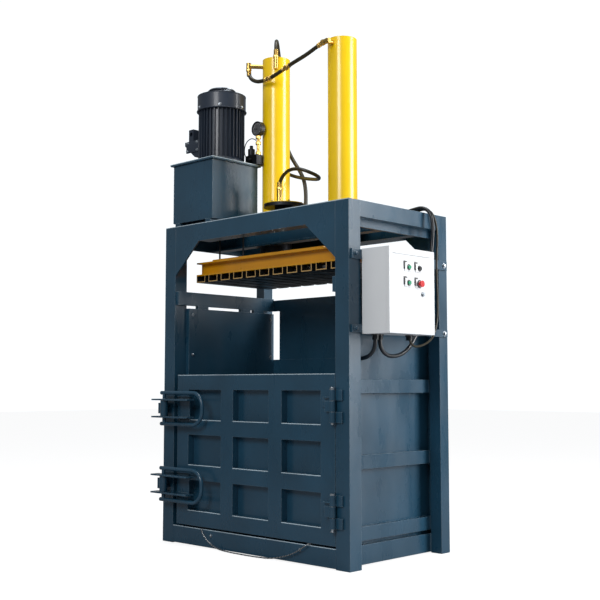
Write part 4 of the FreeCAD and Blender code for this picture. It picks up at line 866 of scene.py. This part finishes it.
dressed(joined("valve_coils", [turned_copy(coil, (-412, gauge_y, valve_top - 2)),
                               turned_copy(knob, (-412, gauge_y, valve_top + 48)),
                               turned_copy(knob, (-384, gauge_y - 30, valve_top - 34), (0, -1, 0))]),
        "dark_steel")
discard(coil, knob)

# %% Gauge pipe
pipe_data = bpy.data.curves.new("gauge_pipe", "CURVE")
pipe_data.dimensions = "3D"
pipe_spline = pipe_data.splines.new("NURBS")
PIPE_ROUTE = [(-432, -84, 2586), (-448, -90, 2600), (-456, -92, 2644), (-444, -90, 2692), (-408, -86, 2718),
              (-372, -82, 2716), (-350, -80, 2700)]
pipe_spline.points.add(len(PIPE_ROUTE) - 1)
for point, spot in zip(pipe_spline.points, PIPE_ROUTE):
    point.co = (*[value * MM for value in spot], 1)
pipe_spline.order_u = 3
pipe_spline.use_endpoint_u = True
pipe_data.bevel_depth = 3.2 * MM
pipe_data.use_fill_caps = True
pipe = bpy.data.objects.new("gauge_pipe", pipe_data)
bpy.context.scene.collection.objects.link(pipe)
deselect()
pipe.select_set(True)
bpy.context.view_layer.objects.active = pipe
bpy.ops.object.convert(target="MESH")
dressed(bpy.context.object, "gauge_black", angle=50)

# %% Gauge bezel, dial and ticks
dial_y = gauge_low.y + 8
bezel = ring("bezel", (gauge_x, gauge_low.y + 1.6, gauge_z), 47, 3.4, (0, -1, 0))
dressed(joined("gauge_bezel", [bezel]), "gauge_black")
dial = drum("dial", 44.6, 1.2, sides=64)
dressed(joined("gauge_dial", [turned_copy(dial, (gauge_x, dial_y + 0.2, gauge_z), (0, -1, 0))]),
        "gauge_black", material=plain_material("dial_face", (0.10, 0.105, 0.11), 0.35))
discard(dial)
marks = []
for number in range(31):
    angle = math.radians(225 - 9 * number)
    long = number % 5 == 0
    reach, length = 38, (8 if long else 4.5)
    mark = slab("mark", (-0.9 if long else -0.5, reach - length, 0), (0.9 if long else 0.5, reach, 0.5))
    turned_mark = turned_copy(mark, (gauge_x, dial_y - 1.2, gauge_z), (0, -1, 0), 0)
    spin = Matrix.Rotation(math.radians(90) - angle, 4, (0, 1, 0))
    centre = Vector((gauge_x, dial_y, gauge_z)) * MM
    turned_mark.data.transform(Matrix.Translation(centre) @ spin @ Matrix.Translation(-centre))
    marks.append(turned_mark)
    discard(mark)
dressed(joined("dial_marks", marks), "gauge_black", material=plain_material("dial_ink", (0.6, 0.6, 0.6), 0.5))
print("gauge at", [round(v) for v in (gauge_x, gauge_y, gauge_z)])

# %% [markdown]
# ## Control cabinet
# The door is a folded powder-coated panel with a drip lip. Each button sits in a black bezel on a pale plate,
# and the plates are blank. Dark strips along each plate's left and upper edges are a painted shadow. The lock
# has a chromed ring with a slot.

# %% Plates, bezels, lip and lock
door_face = corners("cabinet_door")[1].x
door_body = "cabinet_door"
buttons = [(-196, 1706), (-96, 1706), (-196, 1616), (-96, 1616)]
plates, plate_shadows, bezels = [], [], []
for y, z in buttons:
    plates.append(rounded(slab("plate", (door_face, y - 38, z - 24), (door_face + 4, y + 20, z + 30)),
                          1.6, 2))
    # Two dark strips along the plate's left and upper edges: a painted shadow of the plate.
    plate_shadows.append(rounded(slab("back", (door_face, y - 43, z - 12), (door_face + 7, y - 35, z + 36)), 2.2, 2))
    plate_shadows.append(rounded(slab("back", (door_face, y - 36, z + 27), (door_face + 7, y - 18, z + 35)), 2.2, 2))
    wide = 21 if (y, z) == buttons[-1] else 15
    bezels.append(ring("bezel", (door_face + 4, y, z), wide, 2.6, (1, 0, 0), 40))
dressed(joined("button_plates", plates), "cabinet_paint", door_body)
dressed(joined("button_plate_shadows", plate_shadows), "gauge_black", door_body)
dressed(joined("button_bezels", bezels), "gauge_black", door_body)
lip = rounded(slab("lip", (door_face, -336, 1777), (door_face + 5, 5, 1782)), 1, 2)
dressed(joined("door_lip", [lip]), "cabinet_paint", door_body)
lock_y, lock_z = -61, 1558
lock_ring = ring("lock_ring", (door_face + 1, lock_y, lock_z), 13, 2.2, (1, 0, 0), 40)
dressed(joined("lock_ring", [lock_ring]), "plated_steel", door_body)
lock_front = corners("cabinet_lock")[1].x
lock_slot = rounded(slab("slot", (door_face + 0.5, lock_y - 1.6, lock_z - 7), (lock_front + 0.6,
                         lock_y + 1.6, lock_z + 7)), 0.5, 1)
dressed(joined("lock_slot", [lock_slot]), "gauge_black", "cabinet_lock")
print("cabinet dressed")

# %% [markdown]
# ## Door, hinges and latches
# The hinge leaves and the latch feet are welded on, and each pin has a domed head.

# %% Door seams and pin heads
LATCH_LEVELS, FOOT_HALF_HEIGHT = (385, 880), 75
HINGE_LEVELS = (322, 914)
door_seams = []
for level in LATCH_LEVELS:
    for edge in (level - FOOT_HALF_HEIGHT, level + FOOT_HALF_HEIGHT):
        door_seams.append(((door_low.x + 4, door_low.y - 8, edge), (door_low.x + 150, door_low.y - 8, edge)))
welded("door_welds", door_seams, "body_paint", "door", 3.0)
lugs = []
for level in HINGE_LEVELS:
    lug_top = level + 54
    lugs.append(rounded(slab("lug", (628, door_low.y - 9, level - 8), (703, door_low.y + 1, lug_top)), 3, 2))
    lugs.append(rounded(slab("rib", (648, door_low.y - 26, level + 46), (705, door_low.y - 6, lug_top)),
                        2, 2))
dressed(joined("hinge_lugs", lugs), "body_paint", "door")
pins_low, pins_high = corners("hinge_pins")
head = rounded(drum("head", 14, 7, sides=32), 3, 3)
HINGE_X, HINGE_Y = 721.5, -495
pin_heads = [((HINGE_X, HINGE_Y, pins_high.z - 1), (0, 0, 1)),
             ((HINGE_X, HINGE_Y, pins_low.z + 1), (0, 0, -1))]
stamped("hinge_pin_heads", head, pin_heads, "plated_steel")
discard(head)
print("door dressed")

# %% Discard the bolt templates
discard(large_bolt, small_bolt, bar_bolt)
